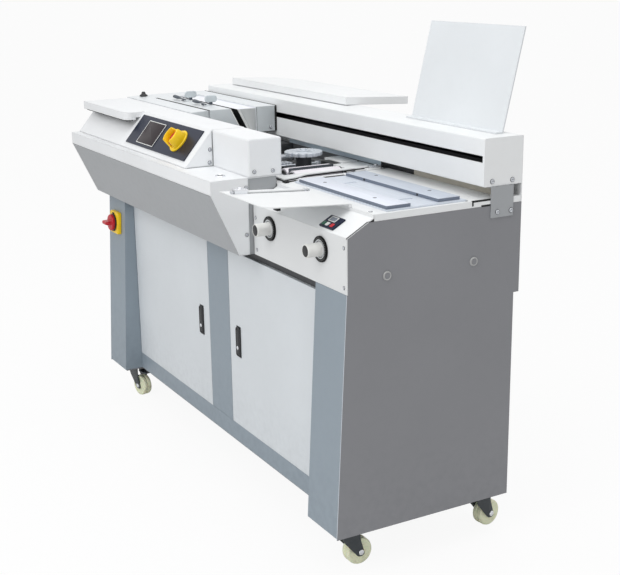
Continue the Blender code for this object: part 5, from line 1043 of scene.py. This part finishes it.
HALF_WHEEL = ((0.0043, 0.0137), (0.0098, 0.0137), (0.0104, 0.0126), (0.012, 0.0118), (0.022, 0.0112),
              (0.0245, 0.0122),
              (0.0278, 0.013), (0.03, 0.0118), (0.031, 0.0092), (0.031, 0.0034), (0.0302, 0.0022), (0.0288, 0.0014))


def casters():
    """Grooved wheels, pressed forks with a swivel race, axle bolts and brake pedals."""
    joints = {joint["child"]: joint for joint in frame["joints"]}
    wheel = lathe((*HALF_WHEEL, *[(radius, -across) for radius, across in HALF_WHEEL[::-1]], HALF_WHEEL[0]), 72)
    outline = ((-0.022, 0.057), (-0.022, 0.0345), (0.0115, -0.0055), (0.0165, -0.0105), (0.0275, -0.0105),
               (0.0325, -0.0055), (0.0205, 0.0345), (0.0205, 0.057))
    cheek = plate(soften(outline, (0.001, 0.01, 0.005, 0.005, 0.005, 0.005, 0.01, 0.001), 5), 0.003, 0.0006)
    bridge = plate(oblong(0.034, 0.0425, 0.006), 0.004, 0.001)
    race = turned(((0, 0.0872), (0.0212, 0.0872), (0.0216, 0.0905), (0.019, 0.093), (0.019, 0.0945),
                   (0.0212, 0.0962),
                   (0.0212, 0.099), (0, 0.099)), 0.0008, 48)
    bolt = turned(((0, -0.0203), (0.0062, -0.0203), (0.0068, -0.017), (0.0041, -0.0168), (0.0041, 0.0168),
                   (0.0068, 0.017), (0.0062, 0.0203), (0, 0.0203)), 0.0006, 24, 2)
    share = np.linspace(0, 1, 14)
    under = np.stack((0.001 + 0.0395 * share, -0.0022 - 0.0016 * np.sin(share * math.pi)), -1)
    tread = slab(np.concatenate((under, (under + (0, 0.0034))[::-1])),
                 ((0.0003, -0.0128), (0, -0.0122), (0, 0.0122), (0.0003, 0.0128)))
    for corner in ("front_right", "front_left", "rear_right", "rear_left"):
        axle = np.array(joints[corner + "_wheel"]["axis"], float)
        centre = np.array(joints[corner + "_wheel"]["pos_m"], float)
        turn = np.array(joints[corner + "_fork"]["pos_m"], float)
        trail = np.cross(RISE, axle)
        wheel_body, fork_body = corner + "_wheel", corner + "_fork"
        piece(corner + "_tyre", NYLON, [moved(wheel, centre, axle, RISE)], wheel_body, (wheel_body,), crease=45)
        fork = [moved(cheek, turn + axle * inner - RISE * 0.069, axle, RISE) for inner in (-0.017, 0.014)]
        fork.append(moved(bridge, (turn[0], turn[1], 0.084), RISE, trail))
        fork.append(moved(race, (turn[0], turn[1], 0.0)))
        piece(corner + "_fork_body", FORK, fork, fork_body, (fork_body,))
        piece(corner + "_axle_bolt", CHROME, [moved(bolt, centre, axle, RISE)], fork_body)
        if corner.startswith("front"):
            name = corner + "_brake_pedal"
            at = (centre[0], centre[1], 0.079)
            pedal = moved(tread, at, np.cross(trail, RISE), RISE)
            piece(corner + "_pedal_tread", ZINC, [pedal], name, (name,), "black_steel")


# ---------------------------------------------------------------- view, light and floor

def hold(name, data, axes, place):
    """The object of a camera or lamp, from its three axes and its place."""
    holder = bpy.data.objects.new(name, data)
    holder.matrix_world = Matrix([*np.array((*axes, place)).T.tolist(), (0, 0, 0, 1)])
    bpy.context.scene.collection.objects.link(holder)
    return holder


def camera():
    """The photograph's view: 1166.7 pixels of focal length on a frame 620 pixels wide."""
    yaw, pitch, roll = -1.063, 0.272, -0.015
    away = np.array((math.sin(yaw) * math.cos(pitch), math.cos(yaw) * math.cos(pitch), -math.sin(pitch)))
    right = np.array((math.cos(yaw), -math.sin(yaw), 0.0))
    up = np.cross(right, away)
    side = math.cos(roll) * right + math.sin(roll) * up
    top = -math.sin(roll) * right + math.cos(roll) * up
    lens = bpy.data.cameras.new("view")
    lens.sensor_width = 36.0
    lens.sensor_fit = "HORIZONTAL"
    lens.lens = 1166.7 / 620 * 36.0
    lens.clip_end = 50.0
    bpy.context.scene.camera = hold("view", lens, (side, top, -away), spot(2.6, -1.15, 1.273))


def lamp(name, place, target, size, power):
    """Square soft box at a place, facing a target."""
    light = bpy.data.lights.new(name, "AREA")
    light.shape = "SQUARE"
    light.size = size
    light.energy = power
    way = np.array(place) - target
    z = way / np.linalg.norm(way)
    x = np.cross(RISE, z)
    x = x / np.linalg.norm(x)
    hold(name, light, (x, np.cross(z, x), z), place)


def surroundings():
    """Pale world, white to the camera and in gloss, and a white floor that keeps the object's shadow."""
    white = (1.0, 1.0, 1.0, 1.0)
    world = bpy.data.worlds.new("studio")
    world.use_nodes = True
    nodes = Nodes(world.node_tree)
    seen = nodes.node("LightPath", out="Is Camera Ray")
    rays = seen.socket.node.outputs
    for kind in ("Is Transmission Ray", "Is Glossy Ray"):
        seen = nodes.node("Math", {0: seen, 1: Link(nodes, rays[kind])}, operation="MAXIMUM")
    background = nodes.tree.nodes["Background"]
    nodes.join(seen * 0.4 + 0.6, background.inputs["Strength"])
    nodes.join(white, background.inputs["Color"])
    bpy.context.scene.world = world
    bpy.context.scene.view_settings.view_transform = "Standard"

    look = Look("studio_floor", (0.9, 0.9, 0.9, 1.0), 0.9)
    seen = look.node("LightPath", out="Is Camera Ray")
    glow = look.node("Emission", {"Color": white, "Strength": 1.0})
    share = look.node("MixShader", {0: seen * 0.92, 1: Link(look, look.shader.outputs[0]), 2: glow})
    look.join(share, look.tree.nodes["Material Output"].inputs[0])
    side = 60.0
    mesh = bpy.data.meshes.new("floor")
    mesh.from_pydata([(-side, -side, 0), (side, -side, 0), (side, side, 0), (-side, side, 0)], [], [(0, 1, 2, 3)])
    mesh.materials.append(look.material)
    floor = bpy.data.objects.new("floor", mesh)
    bpy.context.scene.collection.objects.link(floor)

    target = spot(0.0, 0.2, 0.6)
    lamp("overhead", (0.4, -0.2, 3.4), target, 2.6, 33.5)
    lamp("front", (1.7, -4.0, 3.6), target, 3.0, 78.0)


camera()
surroundings()
console_fittings()
screen()
emergency_stop()
main_switch()
adjusting_knobs()
counter()
fascia_screws()
beam_fittings()
end_plugs()
panel_edges()
clamp_faces()
carriage_fittings()
clamp_levers()
cutter()
milling_station()
glue_rollers()
nipping_plates()
deck_marks()
beam_shade_strips()
cover_table_fittings()
cover_guide()
door_handles()
casters()
